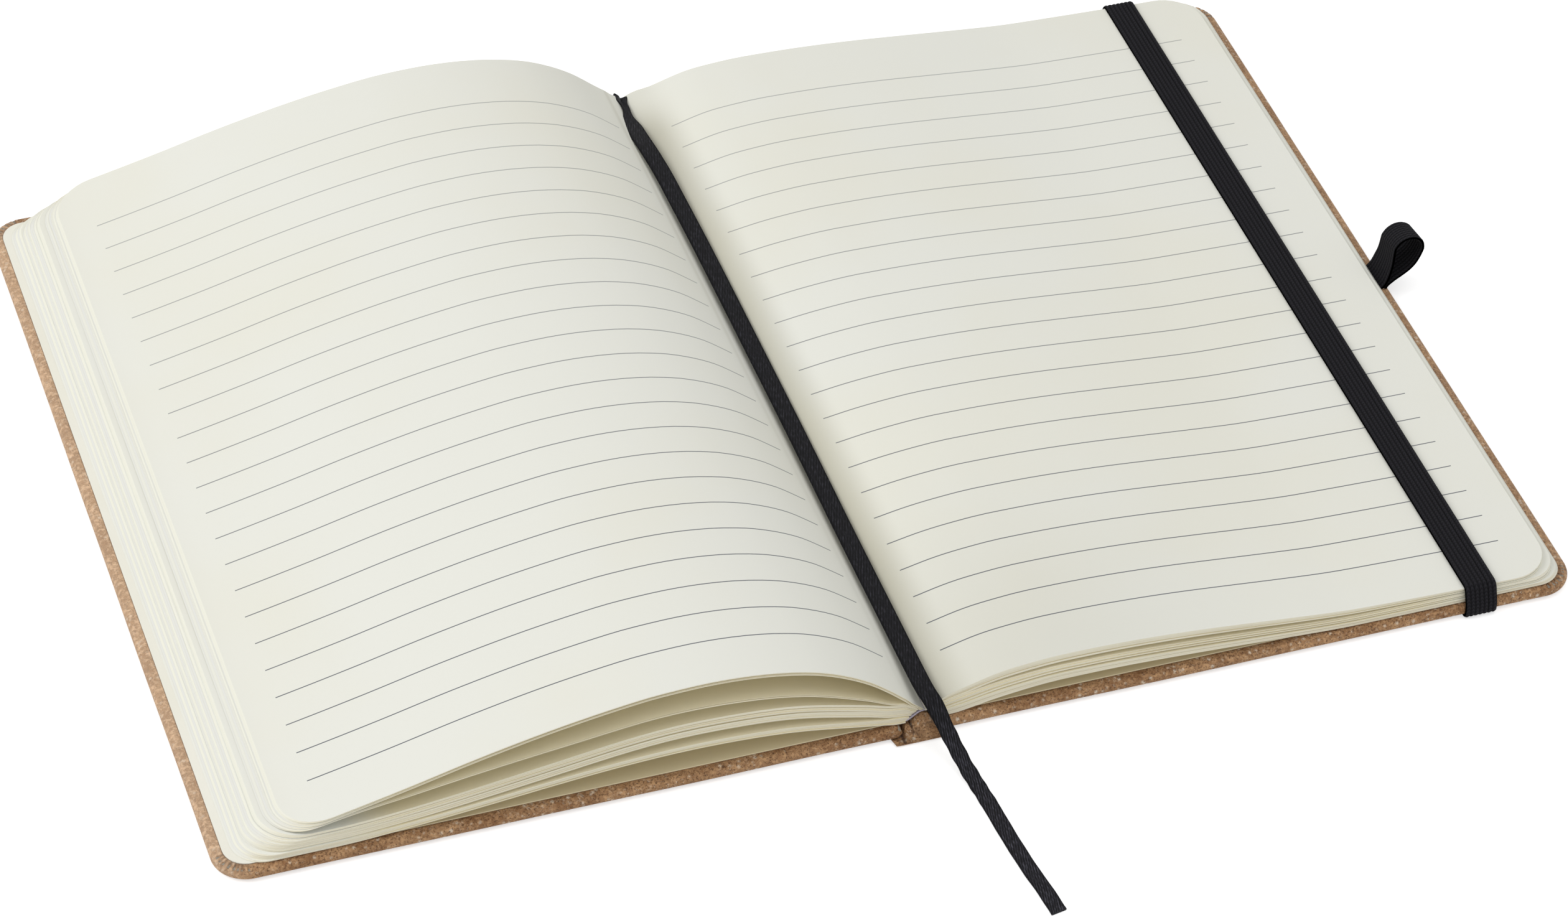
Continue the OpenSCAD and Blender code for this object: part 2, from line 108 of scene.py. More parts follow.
def hermite(curve: Curve, u: float) -> float:
    """Smooth value of a height curve, as the CAD source computes it.

    Args:
        curve: Points of the curve, as (share of the reach, share of the height).
        u: Share of the reach at which the curve is read.

    Returns:
        The share of the height at u.
    """
    last = len(curve) - 1

    def slope(i: int) -> float:
        """Slope at point i, from its neighbours."""
        a, b = max(i - 1, 0), min(i + 1, last)
        return (curve[b][1] - curve[a][1]) / (curve[b][0] - curve[a][0])

    i = 0
    while i < last - 1 and u >= curve[i + 1][0]:
        i += 1
    h = curve[i + 1][0] - curve[i][0]
    t = (min(u, 1.0) - curve[i][0]) / h
    m0, m1 = slope(i) * h, slope(i + 1) * h
    return (
        (2 * t**3 - 3 * t**2 + 1) * curve[i][1]
        + (t**3 - 2 * t**2 + t) * m0
        + (3 * t**2 - 2 * t**3) * curve[i + 1][1]
        + (t**3 - t**2) * m1
    )


def positive(curve: Curve, u: float) -> float:
    """Value of a height curve, never below 0."""
    return max(0.0, hermite(curve, u))


def lerp(a: float, b: float, t: float) -> float:
    """Value at share t of the way from a to b."""
    return a + (b - a) * t


def smooth(edge0: float, edge1: float, x: float) -> float:
    """Smooth step from 0 at edge0 to 1 at edge1."""
    t = min(max((x - edge0) / (edge1 - edge0), 0.0), 1.0)
    return t * t * (3 - 2 * t)


# Shader maths


class Sock:
    """A shader socket on which Python operators add Math nodes."""

    def __init__(self, maker: "Nodes", out: bpy.types.NodeSocket) -> None:
        """Wrap an output socket of a tree that maker builds."""
        self.maker = maker
        self.out = out

    def _op(self, operation: str, *values: "Value") -> "Sock":
        """Add one Math node on the given values."""
        return self.maker.add("ShaderNodeMath", {"operation": operation}, dict(enumerate(values)))

    def __add__(self, other: "Value") -> "Sock":
        """Sum."""
        return self._op("ADD", self, other)

    def __radd__(self, other: "Value") -> "Sock":
        """Sum with a number on the left."""
        return self._op("ADD", other, self)

    def __sub__(self, other: "Value") -> "Sock":
        """Difference."""
        return self._op("SUBTRACT", self, other)

    def __rsub__(self, other: "Value") -> "Sock":
        """Difference from a number on the left."""
        return self._op("SUBTRACT", other, self)

    def __mul__(self, other: "Value") -> "Sock":
        """Product."""
        return self._op("MULTIPLY", self, other)

    def __rmul__(self, other: "Value") -> "Sock":
        """Product with a number on the left."""
        return self._op("MULTIPLY", other, self)

    def __truediv__(self, other: "Value") -> "Sock":
        """Quotient."""
        return self._op("DIVIDE", self, other)

    def __lt__(self, other: "Value") -> "Sock":
        """1 where this is below the other value, else 0."""
        return self._op("LESS_THAN", self, other)

    def __gt__(self, other: "Value") -> "Sock":
        """1 where this is above the other value, else 0."""
        return self._op("GREATER_THAN", self, other)

    def abs(self) -> "Sock":
        """Absolute value."""
        return self._op("ABSOLUTE", self)

    def sign(self) -> "Sock":
        """1 above 0, and -1 below."""
        return self._op("SIGN", self)

    def at_least(self, other: "Value") -> "Sock":
        """The larger of this and the other value."""
        return self._op("MAXIMUM", self, other)

    def frac(self) -> "Sock":
        """Fractional part."""
        return self._op("FRACT", self)

    def sin(self) -> "Sock":
        """Sine."""
        return self._op("SINE", self)

    def power(self, exponent: "Value") -> "Sock":
        """This value to a power."""
        return self._op("POWER", self, exponent)

    def clamp(self) -> "Sock":
        """This value kept from 0 to 1."""
        return self.maker.add("ShaderNodeClamp", {}, {"Value": self})

    def step(self, low: float, high: float) -> "Sock":
        """Smooth step from 0 at low to 1 at high."""
        return self.maker.add(
            "ShaderNodeMapRange",
            {"interpolation_type": "SMOOTHSTEP"},
            {"Value": self, "From Min": low, "From Max": high},
        )


Value = Union[Sock, float, int]


class Nodes:
    """Builds the nodes of one tree: a material's, the world's or a sweep's."""

    def __init__(self, tree: bpy.types.NodeTree) -> None:
        """Start on the tree, emptied."""
        self.tree = tree
        self.tree.nodes.clear()

    def add(
        self,
        kind: str,
        settings: Optional[dict] = None,
        inputs: Optional[dict] = None,
        output: Union[int, str] = 0,
    ) -> Optional[Sock]:
        """Add a node, with its settings first and then the values or links of its sockets.

        Args:
            kind: Blender's node type.
            settings: Properties of the node, such as a Math node's operation.
            inputs: Values or Socks, by the input's name or number.
            output: Name or number of the output to return.

        Returns:
            The chosen output, or None for a node without outputs.
        """
        node = self.tree.nodes.new(kind)
        for key, value in (settings or {}).items():
            setattr(node, key, value)
        for key, value in (inputs or {}).items():
            socket = node.inputs[key]
            if isinstance(value, Sock):
                self.tree.links.new(value.out, socket)
            else:
                socket.default_value = value
        return Sock(self, node.outputs[output]) if node.outputs else None

    def split(self, vector: Sock) -> tuple[Sock, Sock, Sock]:
        """X, Y and Z of a vector."""
        parts = self.add("ShaderNodeSeparateXYZ", {}, {0: vector}).out.node.outputs
        return Sock(self, parts[0]), Sock(self, parts[1]), Sock(self, parts[2])

    def join(self, x: Value, y: Value, z: Value) -> Sock:
        """Vector of three numbers."""
        return self.add("ShaderNodeCombineXYZ", {}, {0: x, 1: y, 2: z})


class MaterialNodes(Nodes):
    """Builds the node tree of one material."""

    def __init__(self, name: str) -> None:
        """Start an empty material.

        Args:
            name: The material's name.
        """
        self.material = bpy.data.materials.new(name)
        self.material.use_nodes = True
        super().__init__(self.material.node_tree)

    def mix(self, factor: Value, a: Union[Sock, tuple], b: Union[Sock, tuple]) -> Sock:
        """Mix two colours."""
        return self.add("ShaderNodeMix", {"data_type": "RGBA"}, {0: factor, 6: a, 7: b}, output=2)

    def coordinates(self, source: str = "Object") -> Sock:
        """Texture coordinates of the piece, in metres for Object."""
        return self.add("ShaderNodeTexCoord", output=source)

    def noise(self, vector: Sock, scale: float, detail: float = 3.0, rough: float = 0.55) -> Sock:
        """Noise at a scale of cells per metre."""
        values = {"Vector": vector, "Scale": scale, "Detail": detail, "Roughness": rough}
        return self.add("ShaderNodeTexNoise", {}, values)

    def cells(self, vector: Sock, scale: float) -> Sock:
        """Distance from the nearest middle in a pattern of cells."""
        return self.add("ShaderNodeTexVoronoi", {"feature": "F1"}, {"Vector": vector, "Scale": scale})

    def attribute(self, name: str) -> Sock:
        """Number stored on the mesh under that name."""
        return self.add("ShaderNodeAttribute", {"attribute_name": name}, output="Fac")

    def bump(self, height: Value, distance: float, strength: float) -> Sock:
        """Normal of a height field whose full height is distance metres."""
        return self.add("ShaderNodeBump", {}, {"Height": height, "Distance": distance, "Strength": strength})

    def finish(self, **inputs: Union[Value, tuple]) -> bpy.types.Material:
        """Close the tree with a Principled shader.

        Args:
            inputs: The shader's inputs, with _ for a space in their names.

        Returns:
            The finished material.
        """
        values = {key.replace("_", " "): value for key, value in inputs.items()}
        shader = self.add("ShaderNodeBsdfPrincipled", {}, values)
        self.add("ShaderNodeOutputMaterial", {}, {"Surface": shader})
        return self.material


def linear(r: float, g: float, b: float) -> tuple[float, float, float, float]:
    """Linear colour from the eight-bit colour that a screen shows.

    Args:
        r: Red from 0 to 255.
        g: Green from 0 to 255.
        b: Blue from 0 to 255.

    Returns:
        The linear colour with full alpha.
    """

    def one(v: float) -> float:
        """One channel."""
        v /= 255.0
        return v / 12.92 if v <= 0.04045 else ((v + 0.055) / 1.055) ** 2.4

    return one(r), one(g), one(b), 1.0


# Finishes

# Distances from the spine's middle over which the leaves that hide the lower paper come to their end; closer
# in, paper and endpaper get a warmer painted shade tint
HIDDEN_TO = (108.0, 124.0)


@dataclass(frozen=True)
class LeatherFinish:
    """Mottled tan leather board with pale dusty flecks and a short nap, painted light on the fore edges, and
    painted shade in creases, grooves and at the turn-in's edge.
    """

    light: tuple = linear(198, 156, 114)
    dark: tuple = linear(138, 97, 60)
    fleck: tuple = linear(240, 224, 202)
    scar: tuple = linear(78, 50, 30)
    # Colour of the painted shade in creases, grooves and at the turn-in's edge
    crease: tuple = linear(54, 34, 26)
    # Colour of the painted light on the covers' fore edges
    fore_light: tuple = linear(240, 206, 172)
    roughness: float = 0.7

    def build(self) -> bpy.types.Material:
        """Make the material.

        Returns:
            The leather.
        """
        n = MaterialNodes("leather")
        p = n.coordinates()
        cloud = n.noise(p, 150.0, 4.0, 0.6).step(0.38, 0.62)
        small = n.noise(p, 1000.0, 4.0, 0.66).step(0.38, 0.62)
        grain = n.noise(p, 2400.0, 3.0, 0.65)
        specks = 1 - n.cells(p, 700.0).step(0.1, 0.42)
        sparse = n.noise(p, 420.0, 2.0, 0.5).step(0.46, 0.6)
        dust = n.noise(p, 1300.0, 5.0, 0.72).step(0.54, 0.68) * n.noise(p, 110.0, 3.0, 0.6).step(0.42, 0.62)
        colour = n.mix(cloud * 0.45 + small * 0.55, self.dark, self.light)
        colour = n.mix(specks * sparse * 0.75, colour, self.fleck)
        colour = n.mix(dust * 0.7, colour, self.fleck)
        colour = n.mix((1 - grain.step(0.34, 0.5)) * 0.75, colour, self.scar)
        # Painted light on the covers' fore edges, where the light from the left falls
        colour = n.mix(n.attribute("wear").clamp() * (0.35 + small * 0.3), colour, self.fore_light)
        # Painted shade at the turn-in's edge, in the pleat creases and in the spine's grooves
        colour = n.mix(n.attribute("seam").clamp() * 0.9, colour, self.crease)
        pebbles = n.cells(p, 1500.0)
        height = pebbles * 0.4 + grain * 0.5 + small * 0.6
        return n.finish(
            Base_Color=colour,
            Roughness=self.roughness + (small - 0.5) * 0.14,
            Specular_IOR_Level=0.35,
            Normal=n.bump(height, 0.0003, 0.9),
        )


@dataclass(frozen=True)
class PaperFinish:
    """Cream ruled paper, with fine lines of leaf edges on the sides of each bundle, painted shade between
    packs and beside the gutter, and a warmer painted shade tint where the leaves hide the paper.
    """

    page: tuple = linear(236, 236, 227)
    warm: tuple = linear(234, 231, 213)
    # Warmer painted shade tint for paper that the leaves hide
    inside: tuple = linear(240, 231, 200)
    edge: tuple = linear(236, 231, 210)
    line: tuple = linear(186, 170, 130)
    glow: tuple = linear(240, 235, 210)
    cream: tuple = linear(240, 239, 225)
    grey: tuple = linear(231, 231, 224)
    shadow: tuple = linear(168, 163, 140)
    rule: tuple = linear(74, 80, 92)
    pitch: float = 8.16
    first: float = -91.87
    last: float = 87.65
    half_width: float = 0.12
    left_rules: tuple[float, float] = (-125.0, -4.2)
    right_rules: tuple[float, float] = (8.3, 133.5)

    def build(self, side: Side) -> bpy.types.Material:
        """Make the material for one half of the leaves.

        Args:
            side: The half, whose rules start and end at their own places.

        Returns:
            The material.
        """
        n = MaterialNodes(f"paper_{side.name.lower()}")
        p = n.coordinates()
        edge, fore, tint = n.attribute("edge").clamp(), n.attribute("fore").clamp(), n.attribute("tint")
        ruled = n.attribute("ruled")
        x, y, _ = n.split(p)
        x, y = x / MM, y / MM
        plain = self._page(n, p)
        # Warmer painted shade tint where the leaves hide the page
        gap_shaded_page = n.mix(x.abs().step(*HIDDEN_TO), self.inside, plain)
        # Painted shade beside the ribbon and along the crease, mixed over the page
        page = n.mix(ruled, gap_shaded_page, n.mix(self._painted_gutter_shade(x, y, side), plain, self.shadow))
        colour = n.mix(edge, page, self._edges(n, fore, tint))
        colour = n.mix(self._rules(x, y, side) * (1 - edge) * ruled, colour, self.rule)
        fibre = n.noise(p, 900.0, 4.0, 0.6)
        normal = n.bump(fibre, 0.00002, 0.5)
        return n.finish(Base_Color=colour, Roughness=0.8, Specular_IOR_Level=0.25, Normal=normal)

    def _page(self, n: MaterialNodes, p: Sock) -> Sock:
        """Colour of the flat page.

        Args:
            n: Builder of the material.
            p: Object coordinates.

        Returns:
            The colour.
        """
        tone = n.noise(p, 16.0, 3.0, 0.5)
        speck = n.noise(p, 1400.0, 3.0, 0.6)
        return n.mix(tone.step(0.4, 0.7) * 0.35 + (speck - 0.5) * 0.12, self.page, self.warm)

    def _edges(self, n: MaterialNodes, fore: Sock, tint: Sock) -> Sock:
        """Colour of the leaves' edges, fine lines at head and tail and soft bands at the fore edge, with
        painted shade where the packs meet.

        Args:
            n: Builder of the material.
            fore: 1 on the fore edge, 0 at head and tail.
            tint: Random number of each pack.

        Returns:
            The colour.
        """
        u, v, _ = n.split(n.coordinates("UV"))
        # Painted shade along each pack's boundary, where the packs meet
        seam = ((v - 0.5).abs() * 2).step(0.7, 1.0) * tint.step(0.1, 0.7)
        streak = n.noise(n.join(u * 0.05, v * 2.4, tint * 40), 1.0, 3.0, 0.6)
        flat = n.mix(streak.step(0.5, 0.72) * 0.4, self.edge, self.line)
        flat = n.mix((1 - streak.step(0.3, 0.45)) * 0.5, flat, self.glow)
        flat = n.mix(seam * 0.85, flat, self.line)
        band = n.mix(tint.step(0.3, 0.7), self.cream, self.grey)
        band = n.mix(seam * 0.16, band, self.line)
        return n.mix(fore, flat, band)

    @staticmethod
    def _painted_gutter_shade(x: Sock, y: Sock, side: Side) -> Sock:
        """Painted shade beside the ribbon, over the right page towards its tail, and along the crease of the
        left page.

        Args:
            x: Place across the notebook, in millimetres.
            y: Place along the page, in millimetres.
            side: The half of the leaves.

        Returns:
            Share of the shadow's colour.
        """
        if side is Side.FRONT:
            # Painted shade along the left page's crease
            crease = 1 - (x + 2.7).abs().step(0.1, 0.9)
            return crease * 0.2 * (0.4 + y.step(-60.0, 60.0) * 0.6)
        # Painted shade beside the ribbon's right edge, less towards the head, and a wider painted shade
        # towards the right page's tail
        beside = (1 - x.step(3.4, 12.6)) * 0.62
        towards_head, towards_tail = 1 - y.step(86.0, 101.0) * 0.75, 0.7 + y.step(-100.0, -60.0) * 0.3
        wide = (1 - x.step(20.0, 85.0)) * (1 - y.step(-103.0, -30.0)) * 0.2
        return beside * towards_head * towards_tail + wide

    def _rules(self, x: Sock, y: Sock, side: Side) -> Sock:
        """Where the page's rules are.

        Args:
            x: Place across the notebook, in millimetres.
            y: Place along the page, in millimetres.
            side: The half of the leaves.

        Returns:
            How strong the rule's ink is.
        """
        phase = (y - self.first) / self.pitch + 0.5
        away = (phase.frac() - 0.5).abs() * self.pitch
        line = 1 - away.step(self.half_width * 0.6, self.half_width * 1.4)
        inside = (y > self.first - 1) * (y < self.last + 1)
        start, end = self.left_rules if side is Side.FRONT else self.right_rules
        return line * inside * (x > start) * (x < end) * (0.95 - y.step(-95.0, 100.0) * 0.4)


@dataclass(frozen=True)
class EndpaperFinish:
    """Smooth uncoated cream endpaper, with a warmer painted shade tint where the leaves hide it."""

    colour: tuple = linear(239, 237, 225)
    shade: tuple = linear(231, 228, 210)
    # Warmer painted shade tint for endpaper that the leaves hide
    gap_shade_tint: tuple = linear(236, 224, 188)

    def build(self) -> bpy.types.Material:
        """Make the material.

        Returns:
            The endpaper's paper.
        """
        n = MaterialNodes("endpaper")
        p = n.coordinates()
        tone = n.noise(p, 22.0, 3.0, 0.5)
        fibre = n.noise(p, 1100.0, 4.0, 0.6)
        x, _, _ = n.split(p)
        colour = n.mix(tone.step(0.35, 0.7) * 0.4, self.colour, self.shade)
        # Warmer painted shade tint where the leaves hide the endpaper
        colour = n.mix((x / MM).abs().step(*HIDDEN_TO), self.gap_shade_tint, colour)
        return n.finish(Base_Color=colour, Roughness=0.74, Normal=n.bump(fibre, 0.00002, 0.5))


@dataclass(frozen=True)
class BoardFinish:
    """Grey binder's board, with its pressed fibres."""

    light: tuple = linear(168, 160, 146)
    dark: tuple = linear(132, 124, 112)

    def build(self) -> bpy.types.Material:
        """Make the material.

        Returns:
            The board.
        """
        n = MaterialNodes("board")
        p = n.coordinates()
        fibre = n.noise(p, 700.0, 5.0, 0.65)
        return n.finish(
            Base_Color=n.mix(fibre.step(0.35, 0.65), self.dark, self.light),
            Roughness=0.9,
            Normal=n.bump(fibre, 0.00006, 0.7),
        )


@dataclass(frozen=True)
class ElasticFinish:
    """Black ribbed elastic: slanted stitches on every rib, with painted shade in the hollows between ribs
    and stitches.
    """

    thread: tuple = linear(50, 49, 54)
    # Near-black colour of the painted shade in the hollows
    hollow: tuple = linear(3, 3, 4)
    stitch_mm: float = 0.8

    def build(self) -> bpy.types.Material:
        """Make the material.

        Returns:
            The elastic.
        """
        n = MaterialNodes("elastic")
        p = n.coordinates()
        along, across = n.attribute("along"), n.attribute("across")
        slant = (along / self.stitch_mm + across.abs() * 1.5).frac()
        stitch = 1 - ((slant - 0.5).abs() * 2).power(2.0)
        ridge = 1 - (across.abs() * 2).power(2.2)
        fuzz = n.noise(p, 3000.0, 3.0, 0.6)
        # Painted shade where the ribs and stitches dip
        colour = n.mix(ridge * (stitch * 0.45 + fuzz * 0.35), self.hollow, self.thread)
        height = stitch * ridge * 0.9 + fuzz * 0.4
        return n.finish(
            Base_Color=colour,
            Roughness=0.85,
            Specular_IOR_Level=0.08,
            Sheen_Weight=0.02,
            Normal=n.bump(height, 0.00012, 0.9),
        )


@dataclass(frozen=True)
class SatinFinish:
    """Black satin ribbon with a slanted twill and closer edges, with painted sheen along the twill and in
    streaks, stronger where it lies on the table.
    """

    thread: tuple = linear(7, 7, 8)
    # Colour of the painted sheen
    painted_sheen: tuple = linear(96, 95, 106)
    twill_mm: float = 0.55

    def build(self) -> bpy.types.Material:
        """Make the material.

        Returns:
            The satin.
        """
        n = MaterialNodes("satin")
        u, v, _ = n.split(n.coordinates("UV"))
        slant = (u * 0.9 + v * 0.32) * (2 * math.pi / self.twill_mm)
        twill = slant.sin() * 0.5 + 0.5
        streak = n.noise(n.join(u * 3.4 + v * 0.8, v * 0.5 - u * 0.4, 0.0), 1.0, 3.0, 0.65).step(0.46, 0.72)
        edge = u.abs().step(1.5, 1.8)
        _, y, _ = n.split(n.coordinates())
        # Painted sheen is stronger where the ribbon lies on the table
        sheen_share = 1 - (y / MM).step(-116.0, -104.0) * 0.62
        # Painted sheen along the twill and in streaks
        colour = n.mix((twill * 0.16 + streak * (0.2 + twill * 0.6)) * sheen_share, self.thread, self.painted_sheen)
        colour = n.mix(edge * 0.6, colour, self.thread)
        return n.finish(
            Base_Color=colour,
            Roughness=0.5 + edge * 0.2 - streak * 0.12,
            Specular_IOR_Level=0.08,
            Normal=n.bump(twill * (1 - edge) + streak * 0.6, 0.00008, 0.8),
        )


@dataclass(frozen=True)
class LiningFinish:
    """Lilac-grey cloth and paper lining on the back of the leaves."""

    light: tuple = linear(224, 219, 232)
    dark: tuple = linear(186, 180, 198)
    weave_mm: float = 0.5

    def build(self) -> bpy.types.Material:
        """Make the material.

        Returns:
            The lining cloth.
        """
        n = MaterialNodes("lining")
        p = n.coordinates()
        x, y, _ = n.split(p)
        turn = 2 * math.pi / (self.weave_mm * MM)
        weave = (x * turn).sin() * (y * turn).sin()
        colour = n.mix(weave * 0.3 + n.noise(p, 400.0) * 0.6, self.dark, self.light)
        return n.finish(Base_Color=colour, Roughness=0.85, Normal=n.bump(weave, 0.00006, 0.6))


class Finishes:
    """All the notebook's materials, made once."""

    def __init__(self) -> None:
        """Build each material."""
        self.leather = LeatherFinish().build()
        self.paper = {side: PaperFinish().build(side) for side in Side}
        self.endpaper = EndpaperFinish().build()
        self.board = BoardFinish().build()
        self.elastic = ElasticFinish().build()
        self.satin = SatinFinish().build()
        self.lining = LiningFinish().build()


# Mesh helpers


@dataclass
class MeshDraft:
    """Vertices and faces of one piece while it is being made, in millimetres."""

    verts: list[Point] = field(default_factory=list)
    faces: list[tuple[int, ...]] = field(default_factory=list)
    numbers: dict[str, list[float]] = field(default_factory=dict)
    uvs: list[list[tuple[float, float]]] = field(default_factory=list)

    def point(self, p: Point, **numbers: float) -> int:
        """Add a vertex.

        Args:
            p: Its place.
            numbers: Its named numbers, 0 where none is given.

        Returns:
            The vertex's index.
        """
        self.verts.append(p)
        for key in set(self.numbers) | set(numbers):
            store = self.numbers.setdefault(key, [0.0] * (len(self.verts) - 1))
            store.append(numbers.get(key, 0.0))
        return len(self.verts) - 1

    def face(self, corners: Sequence[int], uv: Optional[Sequence[tuple[float, float]]] = None) -> None:
        """Add a face, with its UV corners."""
        self.faces.append(tuple(corners))
        self.uvs.append(list(uv) if uv else [(0.0, 0.0)] * len(corners))

    def grid(self, rows: Sequence[Sequence[int]], closed: bool = False, flip: bool = False) -> None:
        """Add quads between rows of vertices.

        Args:
            rows: Vertex indices, row by row.
            closed: Whether each row runs round.
            flip: Whether the faces turn the other way.
        """
        for a, b in zip(rows, rows[1:]):
            count = len(a)
            for j in range(count if closed else count - 1):
                k = (j + 1) % count
                quad = (a[j], a[k], b[k], b[j])
                self.face(quad[::-1] if flip else quad)

    def build(
        self, name: str, material: bpy.types.Material, angle: float = 35.0, recalc: bool = True
    ) -> bpy.types.Object:
        """Turn the draft into an object, with smooth faces and sharp creases.

        Args:
            name: The object's name.
            material: Its finish.
            angle: Faces that meet at more than this many degrees stay sharp.
            recalc: Whether the faces are turned to point outwards.

        Returns:
            The new object, linked to the scene.
        """
        mesh = bpy.data.meshes.new(name)
        mesh.from_pydata([Vector(v) * MM for v in self.verts], [], self.faces)
        for key, values in self.numbers.items():
            attribute = mesh.attributes.new(key, "FLOAT", "POINT")
            attribute.data.foreach_set("value", values)
        layer = mesh.uv_layers.new(name="UVMap")
        flat = [c for face in self.uvs for uv in face for c in uv]
        layer.data.foreach_set("uv", flat)
        mesh.validate()
        if recalc:
            outward(mesh)
        mesh.shade_smooth()
        mesh.set_sharp_from_angle(angle=math.radians(angle))
        mesh.materials.append(material)
        obj = bpy.data.objects.new(name, mesh)
        bpy.context.scene.collection.objects.link(obj)
        return obj


def outward(mesh: bpy.types.Mesh) -> None:
    """Turn the faces of closed shells outwards.

    Args:
        mesh: Mesh that is changed.
    """
    work = bmesh.new()
    work.from_mesh(mesh)
    bmesh.ops.recalc_face_normals(work, faces=work.faces)
    work.to_mesh(mesh)
    work.free()


def dress(node: str, material: bpy.types.Material) -> None:
    """Give a CAD node that stays in view its finish.

    Args:
        node: Name of the node.
        material: Its finish.
    """
    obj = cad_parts[node]
    obj.data.materials.clear()
    obj.data.materials.append(material)


# Leaves


@dataclass
class LeafBundle:
    """One bundle of leaves: a few thin packs between two height curves."""

    low: Callable[[float], float]
    high: Callable[[float], float]
    reach_low: float
    reach_high: float
    packs: int
    root: tuple[float, float]
    loose: float = 0.0
    corner: float = BOOK.leaf_corner_r
    rise: tuple[float, float] = (0.0, 0.0)
    tail: float = 0.0


@dataclass
class LeafBlock:
    """All the leaves on one side of the opening."""

    side: Side
    seed: int = 4
    low_t: float = 1.4
    mid_t: float = 1.7
    upper_t: float = 1.6
    loose_t: float = 0.5
    top_t: float = 0.9
    hump: float = 17.3
    lift: float = 5.6
    low_gap: float = 2.1
    slit: float = 0.35
    right_t: tuple[float, float, float] = (1.1, 1.1, 1.0)
    right_slits: tuple[float, float, float] = (0.12, 0.5, 0.0)
    gutter_more: float = 1.3
    dip: float = 1.2
    dip_reach: float = 0.17
    dip_ends: float = 0.75
    valley_z: float = 6.35
    stack_more: float = 0.25
    tail_rise: float = 1.25
    head_rise: float = 0.5
    head_hollow: float = 2.0
    tail_hollow: float = 1.3
    tail_drop: float = 0.9
    arch_half: float = 4.2
    crease_x: float = 2.9
    crease_half: float = 0.75
    crease_depth: float = 0.5
    spread: float = 2.1
    right_lift: float = 2.95
    root_end: float = 0.03
    right_root_end: float = 0.05
    rows: int = 16
    bend_end: float = 26.0
    bend_steps: int = 16
    flat_steps: int = 34
    corner_steps: int = 9

    crest: Curve = (
        (0, 0), (0.03, 0.138), (0.086, 0.489), (0.144, 0.73), (0.2, 0.878), (0.257, 0.963),
        (0.315, 1), (0.371, 0.994), (0.428, 0.957), (0.54, 0.804), (0.656, 0.586), (0.769, 0.334),
        (0.884, 0.099), (0.933, 0.017), (1, 0),
    )
    left_lift: Curve = (
        (0, 0), (0.035, 0), (0.09, 0.25), (0.19, 0.73), (0.27, 0.93), (0.358, 1),
        (0.45, 0.92), (0.54, 0.73), (0.7, 0.3), (0.8, 0.08), (0.86, 0), (1, 0),
    )
    gap_shape: Curve = (
        (0, 0), (0.04, 0), (0.09, 0.4), (0.19, 0.88), (0.3, 1), (0.4, 0.95), (0.54, 0.45),
        (0.7, 0.12), (0.8, 0), (1, 0),
    )
    slit_shape: Curve = ((0, 0), (0.05, 0), (0.12, 0.4), (0.3, 1), (0.5, 1), (0.75, 0.4), (0.9, 0), (1, 0))
    loose_shape: Curve = (
        (0, 0.1), (0.04, 0.12), (0.09, 0.24), (0.19, 0.34), (0.358, 0.41), (0.54, 0.46),
        (0.75, 0.7), (0.85, 0.93), (0.92, 1), (1, 1),
    )
    right_shape: Curve = (
        (0, 0), (0.035, 0), (0.058, 0.1), (0.11, 0.55), (0.183, 0.95), (0.24, 1),
        (0.31, 0.95), (0.4, 0.74), (0.493, 0.47), (0.585, 0.18), (0.65, 0.02), (0.7, 0), (1, 0),
    )
    spread_shape: Curve = (
        (0, 1), (0.058, 1), (0.11, 0.82), (0.18, 0.65), (0.29, 0.51), (0.39, 0.42), (0.49, 0.31),
        (0.62, 0.2), (0.8, 0.06), (0.9, 0), (1, 0),
    )
    swell: Curve = (
        (0, 0), (0.03, 0.05), (0.1, 0.5), (0.2, 0.88), (0.3, 1), (0.42, 0.95), (0.55, 0.62), (0.7, 0.22),
        (0.85, 0.04), (1, 0),
    )

    @property
    def longest(self) -> float:
        """Longest reach of this side's leaves."""
        return BOOK.left_longest if self.side is Side.FRONT else BOOK.right_longest

    def bundles(self) -> list[LeafBundle]:
        """The bundles of this side, from the cover up.

        Returns:
            Each bundle with its height curves and reaches.
        """
        return self._left() if self.side is Side.FRONT else self._right()

    def _left(self) -> list[LeafBundle]:
        """Bundles of the humped left side.

        Returns:
            The bundles, from the cover up.
        """

        def low0(u: float) -> float:
            """Underside of the lowest leaf."""
            return BOOK.paste_top + self.lift * positive(self.left_lift, u)

        def low1(u: float) -> float:
            """Top of the lowest bundle."""
            return low0(u) + self.low_t

        def mid0(u: float) -> float:
            """Underside of the middle bundle."""
            return low1(u) + self.low_gap * positive(self.gap_shape, u)

        def mid1(u: float) -> float:
            """Top of the middle bundle."""
            return mid0(u) + self.mid_t

        def up0(u: float) -> float:
            """Underside of the upper bundle."""
            return mid1(u) + self.slit * positive(self.slit_shape, u)

        def up1(u: float) -> float:
            """Top of the upper bundle."""
            return up0(u) + self.upper_t

        stack = self.low_t + self.mid_t + self.upper_t + self.loose_t + self.top_t

        def crest(u: float) -> float:
            """Height of the page that shows.

            Args:
                u: Share of the longest reach.

            Returns:
                The height.
            """
            base = lerp(BOOK.gutter_z - BOOK.paste_top + self.gutter_more, stack, u)
            dip = self.dip * (1 - smooth(0.0, self.dip_reach, u))
            return BOOK.paste_top + base + self.hump * hermite(self.crest, u) - dip

        def top0(u: float) -> float:
            """Underside of the top bundle."""
            return max(crest(u) - self.top_t, up1(u) + self.loose_t)

        def top1(u: float) -> float:
            """Top of the top bundle."""
            return top0(u) + self.top_t

